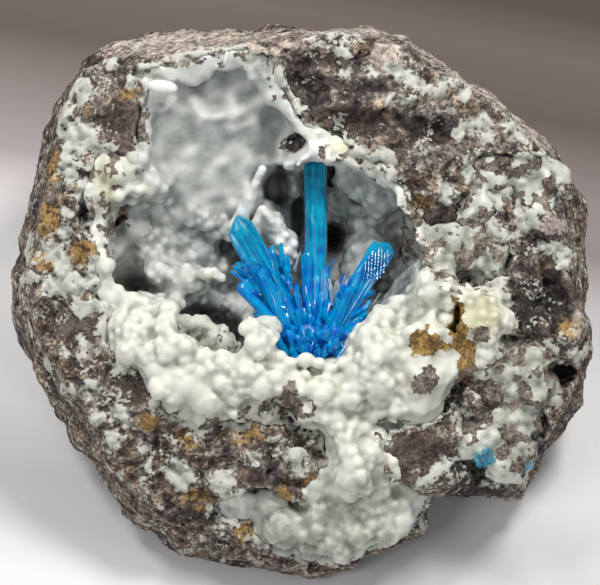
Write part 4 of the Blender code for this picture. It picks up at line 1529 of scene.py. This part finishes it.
    # Recesses so deep that they look black, where the crust is painted near black as shade
    BLACK_SHADE = lumps_of(
        (-13.4, -5.8, -9.4, 6.4, 4.8, 8.0, -25.0), (-1.0, 23.2, -4.4, 2.8, 1.6, 5.6, 10.0),
        (40.2, -11.8, -4.0, 3.2, 2.2, 5.0), (37.0, -22.4, -3.0, 2.2, 1.6, 4.0),
        (-26.6, 1.0, -9.0, 4.6, 2.6, 6.5), (-3.8, 16.4, -14.0, 2.8, 4.0, 8.0),
        (-0.4, 12.0, -19.0, 1.4, 4.8, 8.0), (5.4, 8.6, -21.0, 2.6, 3.4, 7.0),
        (24.4, -3.6, -1.6, 0.9, 2.6, 3.4), (13.0, -6.2, -9.0, 3.6, 2.6, 8.0),
    )
    KNOBS = lumps_of(
        (-3.4, -10.0, 1.4, 1.5, 1.2, 1.3), (-1.6, -10.9, 1.8, 1.3, 1.0, 1.2),
        (0.9, -10.4, 1.9, 1.4, 1.2, 1.2), (2.9, -10.9, 2.0, 1.1, 0.9, 1.1),
        (6.9, -10.9, 1.6, 1.3, 1.1, 1.2), (8.2, -9.2, 1.2, 1.1, 1.2, 1.1), (-5.0, -8.3, 1.2, 1.3, 1.4, 1.2),
        (4.6, -11.7, 1.8, 1.2, 0.9, 1.0), (22.6, -4.1, 0.4, 1.3, 1.6, 1.3),
        (-4.3, 10.3, -7.5, 1.6, 1.6, 1.6), (-3.1, 8.5, -7.6, 1.8, 1.5, 1.7),
        (-2.0, 6.7, -8.0, 1.5, 1.5, 1.6), (-5.0, 11.6, -7.4, 1.2, 1.3, 1.3),
        (-21.3, 31.8, 0.5, 2.5, 1.2, 1.0, -8.0), (-11.4, 36.3, 0.6, 0.5, 1.5, 0.7, -15.0),
        (-5.3, 12.3, -6.6, 0.8, 0.7, 1.0), (-4.4, 11.2, -6.0, 0.9, 0.8, 1.2),
        (-5.1, 10.2, -6.6, 0.7, 0.8, 1.0), (-3.4, 10.0, -6.6, 0.9, 0.8, 1.2),
        (-4.5, 8.8, -7.2, 0.7, 0.7, 1.0), (-2.2, 8.9, -6.6, 0.8, 0.7, 1.2),
        (-3.2, 7.8, -6.6, 1.0, 0.8, 1.2), (-1.0, 7.6, -7.4, 0.8, 0.9, 1.2),
        (-2.3, 6.4, -7.0, 0.8, 0.9, 1.1), (-0.8, 5.6, -8.0, 0.7, 0.7, 1.1),
        (-3.6, 6.0, -8.2, 0.8, 0.8, 1.2), (-1.8, 4.6, -8.2, 0.8, 0.7, 1.1),
    )
    # Patches darkened partly as dirt and partly as painted shade.
    DIRT_AND_SHADE = patches_of(
        (28.0, 6.0, 8.0, 4.4), (33.0, 9.0, 6.0, 3.6), (22.6, 8.6, 2.4, 2.6), (2.6, -37.0, 13.0, 5.4),
        (36.0, -17.0, 8.0, 10.0), (12.0, -31.0, 4.6, 3.0), (24.4, -20.0, 1.8, 4.0), (31.0, -21.0, 3.0, 2.0),
    )
    # Rods of crust: foot, tip, foot radius, tip radius
    RODS = (
        ((-9.7, 10.4, -4.4), (-5.9, 19.0, 0.4), 1.3, 0.62),
        ((-7.0, 8.6, -9.2), (-5.8, 12.8, -7.6), 1.8, 1.0),
    )

    def build(self, node: Object, rock: BVHTree, finish: Material) -> None:
        """Makes the crust's pieces.

        Args:
            node: The crust's CAD node.
            rock: The rock's CAD node, against which the crust's hidden back lies.
            finish: The crust's material.
        """
        crust = self.body(node, rock)
        tree = grape_tree()
        grow(crust, tree, Spacing=1.6, Smallest=0.85, Largest=2.35, Sink=0.48, Seed=5, Material=finish)
        fuse(crust, self.lump_voxel)
        mesh = crust.data
        near = Neighbours(mesh)
        points, normals = places(mesh), facing(mesh)
        hidden = covered(points, normals, rock, 1.0).astype(float)
        open_air = 1.0 - np.clip(near.smooth(hidden, 3) * 1.5, 0.0, 1.0)
        clusters = np.clip(0.35 + 1.2 * ripple(points, 4.4, 21), 0.1, 1.0)
        self.mark(mesh, open_air * clusters)
        grow(crust, tree, Spacing=0.95, Smallest=0.5, Largest=1.35, Sink=0.45, Seed=9, Material=finish)
        for hole in self.DEEP_HOLES:
            carve(crust, hole)
        self.add_shells(crust, self.KNOBS, self.RODS)
        fuse(crust, self.last_voxel)
        self.finish_shape(crust, rock)
        self.split(crust, finish)

    def body(self, node: Object, rock: BVHTree) -> Object:
        """The crust without its lumps: the CAD shape, filled and cut in places, thinned where it shows.

        Args:
            node: The crust's CAD node.
            rock: The rock's CAD node.

        Returns:
            The body, marked for the first lumps.
        """
        crust = working_copy(node, "crust")
        self.add_shells(crust, self.FILLS, ())
        fuse(crust, self.base_voxel)
        for hole in self.HOLES:
            carve(crust, hole)
        fuse(crust, self.base_voxel)
        mesh = crust.data
        near = Neighbours(mesh)
        points = places(mesh)
        wall = share_in(points, self.WALL, 0.2, 2.0)
        points = near.smooth(near.smooth(points, 3), 30, 0.5 * wall)
        move(mesh, points)
        normals = facing(mesh)
        hidden = near.smooth(covered(points, normals, rock, 1.6).astype(float), 1)
        thick = depth_below(mesh, points, normals, 8.0)
        lip, rim = share_in(points, self.LIP, 0.5), share_in(points, self.RIM, 0.5)
        ragged = 1.0 + 0.8 * layered(points, 3.6, 61, octaves=2)
        inward = np.minimum((self.inset + lip + rim) * ragged, (0.42 + 0.22 * rim) * thick)
        inward *= np.clip(1.0 - hidden * 1.5, 0.0, 1.0)
        inward -= (self.domes(points) - 0.5) * self.smoothness(points) * (1.0 - hidden)
        inward = np.minimum(inward, 0.6 * thick)
        move(mesh, points + normals * (hidden * self.embed - near.smooth(inward, 3))[:, None])
        self.mark(mesh, 1.0 - np.clip(near.smooth(hidden, 3) * 1.5, 0.0, 1.0))
        return crust

    def mark(self, mesh: Mesh, bare: Array) -> None:
        """Stores where lumps may grow and how big they are.

        Args:
            mesh: The crust's mesh.
            bare: The share of lumps that each point could take.
        """
        points = places(mesh)
        big, rim = share_in(points, self.BIG, 0.5, 2.0), share_in(points, self.RIM, 0.5)
        smooth = self.smoothness(points)
        room = (self.rod_distance(points) > self.rod_room) * (1.0 - np.clip(smooth * 1.4, 0.0, 1.0))
        store(mesh, "bare", bare * room * (1.0 - 0.85 * rim))
        store(mesh, "girth", 0.92 + 0.24 * big - 0.1 * smooth + 0.18 * ripple(points, 7.0, 29))

    def smoothness(self, points: Array) -> Array:
        """How smooth the crust is.

        Args:
            points: Places in the face frame.

        Returns:
            For each point, 0 among the lumps to 1 on the smooth walls.
        """
        fray = layered(points, 3.0, 65, octaves=2) * 1.2
        away = np.clip(self.rod_distance(points) / self.rod_room - 1.0, 0.0, 1.0)
        return share_in(points, self.SMOOTH, 0.5, 2.0, fray) * away

    def domes(self, points: Array) -> Array:
        """Soft bulges of two sizes that meet in creases.

        Args:
            points: Places in the face frame.

        Returns:
            Millimetres outwards for each point.
        """
        bent = points + np.stack([ripple(points, 3.4, seed) for seed in (71, 72, 73)], axis=1) * 0.9
        total = np.zeros(len(points))
        for size, height, seed in ((3.0, 1.1, 74), (1.6, 0.6, 75)):
            distance, _, marks = cells(bent, size, seed)
            rounded = np.clip(1.0 - (distance / (0.66 * size)) ** 2, 0.0, 1.0)
            total += height * (0.45 + 0.75 * marks[:, 0]) * rounded
        return total

    def rod_distance(self, points: Array) -> Array:
        """How far each point is from the nearest rod's line.

        Args:
            points: Places in the face frame.

        Returns:
            Distances in millimetres.
        """
        best = np.full(len(points), np.inf)
        for foot, tip, _, _ in self.RODS:
            start, line = np.array(foot), np.array(tip) - np.array(foot)
            share = np.clip((points - start) @ line / (line @ line), 0.0, 1.0)
            best = np.minimum(best, np.linalg.norm(points - start - share[:, None] * line, axis=1))
        return best

    def add_shells(self, crust: Object, lumps: tuple[Lump, ...], rods: tuple) -> None:
        """Adds lumps and rods of beads to the crust's shells.

        Args:
            crust: The crust.
            lumps: The lumps.
            rods: The rods.
        """
        shell = bmesh.new()
        for lump in lumps:
            bmesh.ops.create_icosphere(shell, subdivisions=4, radius=1.0, matrix=lump.matrix())
        for foot, tip, foot_radius, tip_radius in rods:
            start, end = Vector(foot), Vector(tip)
            for bead in range(self.rod_beads):
                share = bead / (self.rod_beads - 1)
                radius = foot_radius + (tip_radius - foot_radius) * share
                place = Matrix.Translation(start.lerp(end, share))
                bmesh.ops.create_icosphere(shell, subdivisions=3, radius=radius, matrix=place)
        shell.from_mesh(crust.data)
        shell.to_mesh(crust.data)
        shell.free()

    def finish_shape(self, crust: Object, rock: BVHTree) -> None:
        """Softens the lumps, adds their fine grain, and stores what the material reads.

        Args:
            crust: The crust.
            rock: The rock's CAD node, against which hidden faces are thinned out.
        """
        mesh = crust.data
        near = Neighbours(mesh)
        points = places(mesh)
        points = near.smooth(points, 2, 0.45)
        points = near.smooth(points, 2, 0.5 * self.smoothness(points))
        move(mesh, points)
        normals = facing(mesh)
        fray = layered(points, 2.4, 41, octaves=3, keep=0.6) * 0.7
        skin = patch_depth(points, self.SKIN, fray * 1.1)
        mottle = 2.4 * layered(points, 2.6, 45, octaves=3, keep=0.6) - 0.2
        mottle = np.minimum(patch_depth(points, self.MOTTLED, fray), mottle)
        brown = np.maximum(patch_depth(points, self.BROWN, fray), mottle)
        rocky = np.clip(np.maximum(skin, brown) + 0.4, 0.0, 1.0)
        near_rod = np.clip(2.4 - self.rod_distance(points), 0.0, 1.0)
        grit = layered(points, 0.7, 43, octaves=2) * (0.03 + 0.14 * rocky)
        grit += 0.28 * near_rod * ripple(points, 1.7, 44)
        move(mesh, points + normals * grit[:, None])
        # How deep each point lies in a crease, which the material paints as shade.
        store(mesh, "crease_shade", hollowness(mesh, near, 10, 0.2))
        store(mesh, "skin", skin)
        store(mesh, "brown", brown)
        store(mesh, "yellow", patch_depth(points, self.YELLOW, fray))
        # Near black in the deep recesses: painted shade.
        black_shade = np.max([lump.depth(points) for lump in self.BLACK_SHADE], axis=0)
        store(mesh, "black_shade", np.clip(3.0 * black_shade, 0.0, 1.0))
        chalk = np.maximum(patch_depth(points, self.CHALK, fray), 1.8 - self.rod_distance(points))
        store(mesh, "chalk", chalk)
        # Where the crust is darkened as dirt and as painted shade.
        store(mesh, "dirt_and_shade", patch_depth(points, self.DIRT_AND_SHADE, fray))
        # Depth, made deeper on the hollow's upper-left wall so that the material paints it darker: painted
        # shade.
        store(mesh, "depth", points[:, 2] - 6.0 * share_in(points, self.SHADED_WALL, 0.3, 2.0, fray))
        hidden = covered(points, normals, rock, 1.2).astype(float)
        buried = (near.smooth(hidden, 2) > 0.5) | self.inside(points, rock)
        thin_out(crust, near.smooth(buried.astype(float), 2), self.most_triangles)

    def inside(self, points: Array, rock: BVHTree) -> Array:
        """Whether each point lies well inside the rock.

        Args:
            points: Places in the face frame.
            rock: The rock's CAD node.

        Returns:
            True or false for each point.
        """
        found = np.zeros(len(points), bool)
        for index, point in enumerate(points):
            place, normal, _, _ = rock.find_nearest(Vector(point), 2.5)
            found[index] = place is not None and (Vector(point) - place).dot(normal) < -0.3
        return found

    def split(self, crust: Object, finish: Material) -> None:
        """Cuts the crust into its upper and lower pieces, each closed, and hands them in.

        Args:
            crust: The crust, which is removed.
            finish: The crust's material.
        """
        level = float(np.median(places(crust.data)[:, 1]))
        for name, sign in (("crust_hollow", 1.0), ("crust_apron", -1.0)):
            half = bmesh.new()
            half.from_mesh(crust.data)
            plane = {"plane_co": (0.0, level, 0.0), "plane_no": (0.0, -sign, 0.0)}
            everything = half.verts[:] + half.edges[:] + half.faces[:]
            cut = bmesh.ops.bisect_plane(half, geom=everything, clear_outer=True, **plane)
            rim = [edge for edge in cut["geom_cut"] if isinstance(edge, bmesh.types.BMEdge)]
            bmesh.ops.triangle_fill(half, edges=rim, use_beauty=False)
            for edge in rim:
                edge.smooth = False
            mesh = bpy.data.meshes.new(name)
            half.to_mesh(mesh)
            half.free()
            hand_in(new_object(mesh, name), finish, Slot.ZEOLITE, "zeolite_crust")
        bpy.data.objects.remove(crust)


class CrystalMaker:
    """Adds crystals to one mesh, with the vector along each that its streaks follow."""

    def __init__(self, seed: int) -> None:
        """Starts an empty mesh.

        Args:
            seed: Of the crystals' ribs.
        """
        self.shell = bmesh.new()
        self.grain = self.shell.verts.layers.float_vector.new("grain")
        self.rng = random.Random(seed)

    def add(self, blade: Blade, ribs: int = 26, rings: int = 9) -> None:
        """Adds one crystal.

        Args:
            blade: Its size and place.
            ribs: The points round its section.
            rings: The sections along it.
        """
        foot, tip = Vector(blade.foot), Vector(blade.tip)
        along = (tip - foot).normalized()
        out = Vector((0.0, 0.0, 1.0))
        out = (out - along * out.dot(along)).normalized()
        out.rotate(Matrix.Rotation(math.radians(blade.turn), 3, along))
        side = along.cross(out)
        outline = self.section(blade.width / 2, blade.thickness / 2, ribs)
        length = (tip - foot).length
        shoulder = length - blade.roof
        drift = [0.0] * len(outline)
        rows = []
        for ring in range(rings + 1):
            share = ring / rings
            swell = 0.88 + 0.12 * share
            row = []
            for place, (a, b) in enumerate(outline):
                drift[place] = 0.8 * drift[place] + self.rng.uniform(-0.012, 0.012) * blade.width
                step = 1.0 + drift[place]
                row.append(foot + along * (shoulder * share) + (side * a + out * b) * swell * step)
            rows.append(row)
        peak = []
        for a, b in outline:
            lean = side * (0.12 * blade.width + a * 0.05) + out * (b * 0.72)
            peak.append(tip + lean)
        rows.append(peak)
        self.loft(rows, outline, shoulder)

    def section(self, half_width: float, half_thick: float, ribs: int) -> list[tuple[float, float]]:
        """Points round a flattened six-sided section, stepped by fine ribs.

        Args:
            half_width: Half its width.
            half_thick: Half its thickness.
            ribs: About how many points it has.

        Returns:
            The points, each across and outwards.
        """
        corners = ((1.0, 0.0), (0.68, 1.0), (-0.68, 1.0), (-1.0, 0.0), (-0.68, -1.0), (0.68, -1.0))
        points = []
        for side in range(6):
            (ax, ay), (bx, by) = corners[side], corners[(side + 1) % 6]
            wide = side in (1, 4)
            count = max(2, round(ribs * (0.32 if wide else 0.09)))
            for step in range(count):
                share = (step + self.rng.uniform(-0.25, 0.25) * (step > 0)) / count
                rib = 1.0 + self.rng.uniform(-0.07, 0.03) * (step > 0)
                x, y = ax + (bx - ax) * share, ay + (by - ay) * share
                points.append((x * half_width, y * half_thick * rib))
        return points

    def loft(self, rows: list[list[Vector]], outline: list[tuple[float, float]], length: float) -> None:
        """Joins rows of points into a closed solid.

        Args:
            rows: The rows, from the foot to the tip.
            outline: The section, for the vector that streaks follow.
            length: The crystal's length.
        """
        made = []
        for index, row in enumerate(rows):
            line = []
            for point, (a, b) in zip(row, outline):
                vert = self.shell.verts.new(point)
                vert[self.grain] = (a, b, length * index / len(rows))
                line.append(vert)
            made.append(line)
        size = len(outline)
        for low, high in itertools.pairwise(made):
            for place in range(size):
                after = (place + 1) % size
                self.shell.faces.new((low[place], low[after], high[after], high[place]))
        self.shell.faces.new(made[0][::-1])
        self.shell.faces.new(made[-1])

    def finish(self, name: str) -> Object:
        """The crystals as one object, their faces outwards.

        Args:
            name: The object's name.

        Returns:
            The object.
        """
        bmesh.ops.recalc_face_normals(self.shell, faces=self.shell.faces[:])
        mesh = bpy.data.meshes.new(name)
        self.shell.to_mesh(mesh)
        self.shell.free()
        return new_object(mesh, name)


@dataclass(frozen=True)
class Spray:
    """The spray of pentagonite: three blades, smaller ones beside them, and the needles of their root."""

    blades: tuple[Blade, ...] = (
        Blade((2.6, -8.6, -5.6), (2.5, 21.2, -8.2), 3.7, 2.6, 8.0, 1.0),
        Blade((0.4, -7.6, -4.8), (-10.3, 11.7, -1.4), 4.6, 2.4, -12.0, 1.9),
        Blade((3.8, -8.0, -5.0), (13.6, 7.8, -2.6), 3.9, 2.4, 14.0, 1.0),
        Blade((1.2, -8.0, -4.6), (0.9, 6.4, -5.2), 1.6, 1.4, 30.0, 0.6),
        Blade((4.2, -8.0, -5.2), (4.1, 4.2, -5.4), 1.5, 1.3, -25.0, 0.6),
        Blade((-1.2, -7.0, -4.2), (-6.4, 4.0, -1.4), 2.4, 1.8, 12.0, 0.8),
        Blade((-1.0, -7.8, -4.0), (-9.6, 1.2, -1.2), 1.8, 1.4, 24.0, 0.6),
        Blade((0.0, -7.0, -5.2), (-3.6, 5.2, -4.6), 1.4, 1.1, -30.0, 0.6),
        Blade((4.6, -7.8, -4.6), (9.4, 3.4, -2.0), 1.6, 1.2, -12.0, 0.6),
        Blade((4.2, -8.6, -4.0), (7.8, 0.8, -1.6), 1.4, 1.1, 35.0, 0.5),
        Blade((4.2, -8.8, -5.0), (10.6, -3.4, -4.6), 1.5, 1.0, 10.0, 0.5),
    )
    root: Triple = (1.2, -9.2, -5.0)
    needle_count: int = 120
    spike_count: int = 16
    chunk_count: int = 90

    # Slender crystals along a blade: its place above, how far up, how many, and how wide they spread
    SHEATHS = ((1, 0.62, 110, 1.7), (0, 0.45, 40, 1.0), (2, 0.5, 60, 1.3))

    def build(self, finish: Material) -> None:
        """Makes the spray's piece.

        Args:
            finish: The spray's material.
        """
        maker = CrystalMaker(4)
        for blade in self.blades:
            maker.add(blade)
        for needle in self.needles() + self.spikes() + self.sheath() + self.chunks():
            maker.add(needle, ribs=12, rings=3)
        for step in self.steps():
            maker.add(step, ribs=6, rings=1)
        spray = maker.finish("pentagonite_blades")
        store(spray.data, "rise", np.clip((places(spray.data)[:, 1] - 1.0) / 9.0, 0.0, 1.0))
        hand_in(spray, finish, Slot.PENTAGONITE, "pentagonite_spray", flat=True)

    def needles(self) -> list[Blade]:
        """Crystals that fan out from the root in every direction above the crust.

        Returns:
            The crystals.
        """
        rng = random.Random(11)
        made = []
        for count in range(self.needle_count):
            fan = math.radians(95) * (2 * (count + rng.random()) / self.needle_count - 1)
            lift = math.radians(rng.uniform(5, 80))
            away = Vector((math.sin(fan) * math.cos(lift), math.cos(fan) * math.cos(lift), math.sin(lift)))
            shift = (math.sin(fan) * rng.uniform(0.5, 4.2), rng.uniform(-1.6, 1.8), rng.uniform(-0.6, 1.6))
            foot = Vector(self.root) + Vector(shift)
            length = rng.uniform(2.2, 6.6) * (1.0 - 0.3 * abs(math.sin(fan)))
            width = rng.uniform(0.35, 1.15)
            made.append(sliver(foot, foot + away * length, width, 0.6, rng.uniform(0.0, 180.0)))
        return made

    def sheath(self) -> list[Blade]:
        """Slender crystals that grow from the lower part of the blades, at small angles to them.

        Returns:
            The crystals.
        """
        rng = random.Random(13)
        made = []
        for index, reach, count, spread_out in self.SHEATHS:
            blade = self.blades[index]
            foot, tip = Vector(blade.foot), Vector(blade.tip)
            along = (tip - foot).normalized()
            across = along.cross(Vector((0.0, 0.0, 1.0))).normalized()
            for _ in range(count):
                place = rng.uniform(-0.05, reach)
                side, front = rng.uniform(-1.0, 1.0), rng.uniform(-0.3, 1.0)
                start = foot.lerp(tip, place) + across * (side * blade.width * 0.45 * spread_out)
                start.z += front * blade.thickness * 0.4
                stray = across * (side * 0.42 + rng.uniform(-0.25, 0.25)) + Vector((0.0, 0.0, 0.4 * front))
                end = start + (along + stray).normalized() * rng.uniform(1.4, 4.0)
                width = rng.uniform(0.4, 1.25)
                made.append(sliver(start, end, width, rng.uniform(0.45, 0.8), rng.uniform(0.0, 180.0), 0.6))
        return made

    def chunks(self) -> list[Blade]:
        """Stout crystals that fill the foot of the spray in front.

        Returns:
            The crystals.
        """
        rng = random.Random(14)
        made = []
        for _ in range(self.chunk_count):
            start = Vector((rng.uniform(-4.0, 7.6), rng.uniform(-10.6, -7.0), rng.uniform(-3.8, -1.0)))
            aim = ((start.x - 1.6) * 0.2 + rng.uniform(-0.3, 0.3), 1.0, rng.uniform(0.1, 0.8))
            away = Vector(aim).normalized()
            width = rng.uniform(0.6, 1.6)
            end = start + away * rng.uniform(1.4, 3.4)
            made.append(sliver(start, end, width, 0.7, rng.uniform(0.0, 180.0)))
        return made

    def steps(self) -> list[Blade]:
        """Growth steps near the right blade's tip, which all face one way and catch the light together.

        Returns:
            The crystals.
        """
        rng = random.Random(15)
        made = []
        for bar in range(8):
            across = bar / 3.5 - 1.0
            reach = 2.6 * math.sqrt(1.0 - 0.94 * across * across) * rng.uniform(0.75, 1.0)
            for step in range(round(2.0 * reach / 0.5)):
                y = 4.2 + 0.5 * across - reach + 0.5 * step
                start = Vector((11.6 + 1.7 * across + 0.06 * y, y, -1.44 + 0.15 * (y - 4.1) - 0.25 * across))
                end = start + Vector((0.0, 0.918, -0.398)) * 0.66
                made.append(Blade(tuple(start), tuple(end), rng.uniform(0.18, 0.3), 0.34, 11.0, 0.04))
        return made

    def spikes(self) -> list[Blade]:
        """Short spikes down the outer side of the left blade.

        Returns:
            The crystals.
        """
        rng = random.Random(12)
        foot, tip = Vector(self.blades[1].foot), Vector(self.blades[1].tip)
        made = []
        for count in range(self.spike_count):
            start = foot.lerp(tip, 0.26 + 0.42 * (count + rng.random()) / self.spike_count)
            away = Vector((-1.0, rng.uniform(-0.2, 0.9), rng.uniform(-0.1, 0.8))).normalized()
            end = start + away * rng.uniform(2.4, 4.2)
            width = rng.uniform(0.4, 0.9)
            made.append(sliver(start, end, width, 0.65, rng.uniform(0.0, 180.0)))
        return made


@dataclass(frozen=True)
class Whiskers:
    """Hair-thin white crystals that stand in fans beside the blades."""

    # Each fan: foot, the way it points, how many, and its longest crystal
    fans: tuple[tuple[Triple, Triple, int, float], ...] = (
        ((5.6, -1.2, -5.2), (0.15, 1.0, 0.5), 26, 4.4),
        ((-1.4, 3.4, -5.0), (-0.1, 1.0, 0.3), 8, 3.6),
        ((9.8, -4.4, -5.0), (1.0, 0.35, 0.4), 14, 5.4),
    )

    def build(self, finish: Material) -> None:
        """Makes the whiskers' piece.

        Args:
            finish: The whiskers' material.
        """
        rng = random.Random(21)
        maker = CrystalMaker(22)
        for foot, aim, count, longest in self.fans:
            for _ in range(count):
                start = Vector(foot) + Vector([rng.uniform(-0.9, 0.9) for _ in range(3)])
                away = Vector(aim).normalized() + Vector([rng.uniform(-0.55, 0.55) for _ in range(3)])
                end = start + away.normalized() * rng.uniform(0.5, 1.0) * longest
                width = rng.uniform(0.10, 0.2)
                blade = Blade(tuple(start), tuple(end), width, width * 0.7, rng.uniform(0.0, 180.0), 0.3)
                maker.add(blade, ribs=6, rings=1)
        hand_in(maker.finish("white_whiskers"), finish, Slot.ZEOLITE, "zeolite_crust", flat=True)


@dataclass(frozen=True)
class Tufts:
    """The two small tufts of fine blue fibres on the lower right crust."""

    # Each tuft: its CAD node, its seed and its longest fibre
    tufts: tuple[tuple[str, int, float], ...] = (
        ("pentagonite_tuft", 3, 0.9), ("pentagonite_edge_tuft", 8, 0.4),
    )
    fan_depth: float = 1.2
    spacing: float = 0.12
    density: float = 26.0
    shortest: float = 0.25
    thinnest: float = 0.06
    thickest: float = 0.2
    fan: float = 0.8
    stray: float = 0.8

    def build(self, nodes: dict[str, Object], finish: Material) -> None:
        """Makes a piece for each tuft.

        Args:
            nodes: The CAD nodes by name.
            finish: The tufts' material.
        """
        tree = needle_tree()
        for name, seed, longest in self.tufts:
            tuft = working_copy(nodes[name], name.replace("pentagonite", "fibre"))
            mesh = tuft.data
            points = places(mesh)
            centre = points.mean(axis=0)
            centre[2] -= self.fan_depth
            fan = (points - centre) / np.linalg.norm(points - centre, axis=1)[:, None]
            store(mesh, "sprout", np.ones(len(points)))
            store(mesh, "fan", fan)
            grow(
                tuft, tree, Spacing=self.spacing, Density=self.density, Shortest=self.shortest,
                Longest=longest, Thinnest=self.thinnest, Thickest=self.thickest, Fan=self.fan,
                Stray=self.stray, Seed=seed, Material=finish,
            )
            store(tuft.data, "grain", places(tuft.data))
            hand_in(tuft, finish, Slot.PENTAGONITE, name, flat=True)


# The studio


@dataclass(frozen=True)
class Softbox:
    """A rectangular light: its name, place in the face frame, width, height, power in watts and colour."""

    name: str
    place: Triple
    width: float
    height: float
    power: float
    colour: Triple = (1.0, 1.0, 1.0)

    def build(self) -> None:
        """Adds the light, aimed at the specimen."""
        light = bpy.data.lights.new(self.name, "AREA")
        light.shape = "RECTANGLE"
        light.size = self.width * MM
        light.size_y = self.height * MM
        light.energy = self.power
        light.color = self.colour
        lamp = bpy.data.objects.new(self.name, light)
        bpy.context.scene.collection.objects.link(lamp)
        lamp.location = FACE.place(*self.place)
        lamp.rotation_euler = (FACE.place(0.0, 0.0, 0.0) - lamp.location).to_track_quat("-Z", "Y").to_euler()


@dataclass(frozen=True)
class Studio:
    """The plain set: camera at the photograph's angle, soft lights and a pale table."""

    distance: float = 500.0
    seen_width: float = 93.0
    sensor: float = 36.0
    sky: float = 0.26
    sky_colour: Triple = (0.93, 0.96, 1.0)
    table_size: float = 6.0
    table_slant: float = 0.22
    table_roughness: float = 0.7
    lights: tuple[Softbox, ...] = (
        Softbox("right lamp", (155.0, 295.0, 255.0), 110.0, 90.0, 1.20, (1.0, 0.985, 0.96)),
        Softbox("left lamp", (-190.0, 280.0, 235.0), 90.0, 90.0, 0.68, (1.0, 0.98, 0.965)),
        Softbox("front reflector", (-220.0, -10.0, 360.0), 160.0, 120.0, 0.42),
        Softbox("right blade glint", (193.0, -238.0, 260.0), 32.0, 32.0, 0.09),
        Softbox("left blade glint", (104.0, -60.0, 376.0), 14.0, 14.0, 0.03),
    )

    # Painted light on the table, from its near end to its far one: bright near and dark far as light falls
    # off, with a darker band near the specimen as its painted shadow. Each row: a share of the way, and a
    # colour
    TABLE_LIGHT_AND_SHADOW = (
        (0.15, (0.80, 0.80, 0.80)), (0.20, (0.65, 0.65, 0.655)), (0.24, (0.65, 0.645, 0.645)),
        (0.30, (0.83, 0.82, 0.815)), (0.405, (0.89, 0.88, 0.875)), (0.46, (0.77, 0.755, 0.75)),
        (0.495, (0.66, 0.635, 0.63)), (0.543, (0.36, 0.308, 0.306)), (0.67, (0.108, 0.079, 0.069)),
        (0.74, (0.140, 0.106, 0.097)), (0.79, (0.066, 0.048, 0.040)),
    )

    def build(self) -> None:
        """Makes the camera, the lights and the table."""
        self.add_camera()
        for light in self.lights:
            light.build()
        self.add_sky()
        self.add_table()

    def add_camera(self) -> None:
        """Puts the camera straight in front of the broken face."""
        camera = bpy.data.cameras.new("camera")
        camera.sensor_width = self.sensor
        camera.lens = self.sensor * self.distance / self.seen_width
        camera.clip_start = 0.01
        camera.clip_end = 20.0
        eye = bpy.data.objects.new("camera", camera)
        bpy.context.scene.collection.objects.link(eye)
        eye.location = FACE.place(0.0, 0.0, self.distance)
        eye.rotation_euler = (FACE.lean, 0.0, 0.0)
        bpy.context.scene.camera = eye

    def add_sky(self) -> None:
        """Gives the room its even light."""
        world = bpy.data.worlds.new("room")
        world.use_nodes = True
        back = world.node_tree.nodes["Background"]
        back.inputs["Color"].default_value = (*self.sky_colour, 1.0)
        back.inputs["Strength"].default_value = self.sky
        bpy.context.scene.world = world
        bpy.context.scene.view_settings.view_transform = "Standard"

    def add_table(self) -> None:
        """Lays the pale table under the specimen, its colour painted by place as light falloff and shadow.
        """
        bpy.ops.mesh.primitive_plane_add(size=self.table_size)
        table = bpy.context.object
        table.name = "table"
        material = bpy.data.materials.new("table painted with light and shadow")
        material.use_nodes = True
        nodes = Nodes(material.node_tree)
        shader = material.node_tree.nodes["Principled BSDF"]
        where = nodes.add("ShaderNodeTexCoord").outputs["Object"]
        axes = nodes.add("ShaderNodeSeparateXYZ", {"Vector": where}).outputs
        depth = nodes.math("MULTIPLY_ADD", axes["X"], self.table_slant, axes["Y"])
        share = nodes.math("MULTIPLY_ADD", depth, 5.0, 0.4)
        # Colour by place on the table: painted light falloff and painted shadow.
        nodes.feed(shader.inputs["Base Color"], nodes.ramp(share, *self.TABLE_LIGHT_AND_SHADOW))
        shader.inputs["Roughness"].default_value = self.table_roughness
        table.data.materials.append(material)


def main() -> None:
    """Builds the set and the specimen."""
    logging.basicConfig(level=logging.INFO, format="%(relativeCreated)d ms %(message)s")
    nodes = frame["nodes"]
    Studio().build()
    shared = Finishes.build()
    rock_tree, crust_tree = tree_of(nodes["basalt_matrix"]), tree_of(nodes["zeolite_crust"])
    Basalt().build(nodes["basalt_matrix"], crust_tree, BasaltFinish().build(shared))
    Crust().build(nodes["zeolite_crust"], rock_tree, CrustFinish().build(shared))
    Spray().build(CrystalFinish().build(shared))
    whisker = CrystalFinish("white whisker", (FROST, FROST), (FROST, FROST), density=1.0)
    Whiskers().build(whisker.build(shared))
    fibre = CrystalFinish("azure fibre", (TEAL, SKY_BLUE), (TEAL, SKY_BLUE), see_through=0.3)
    Tufts().build(nodes, fibre.build(shared))


if __name__ == "__main__":
    main()
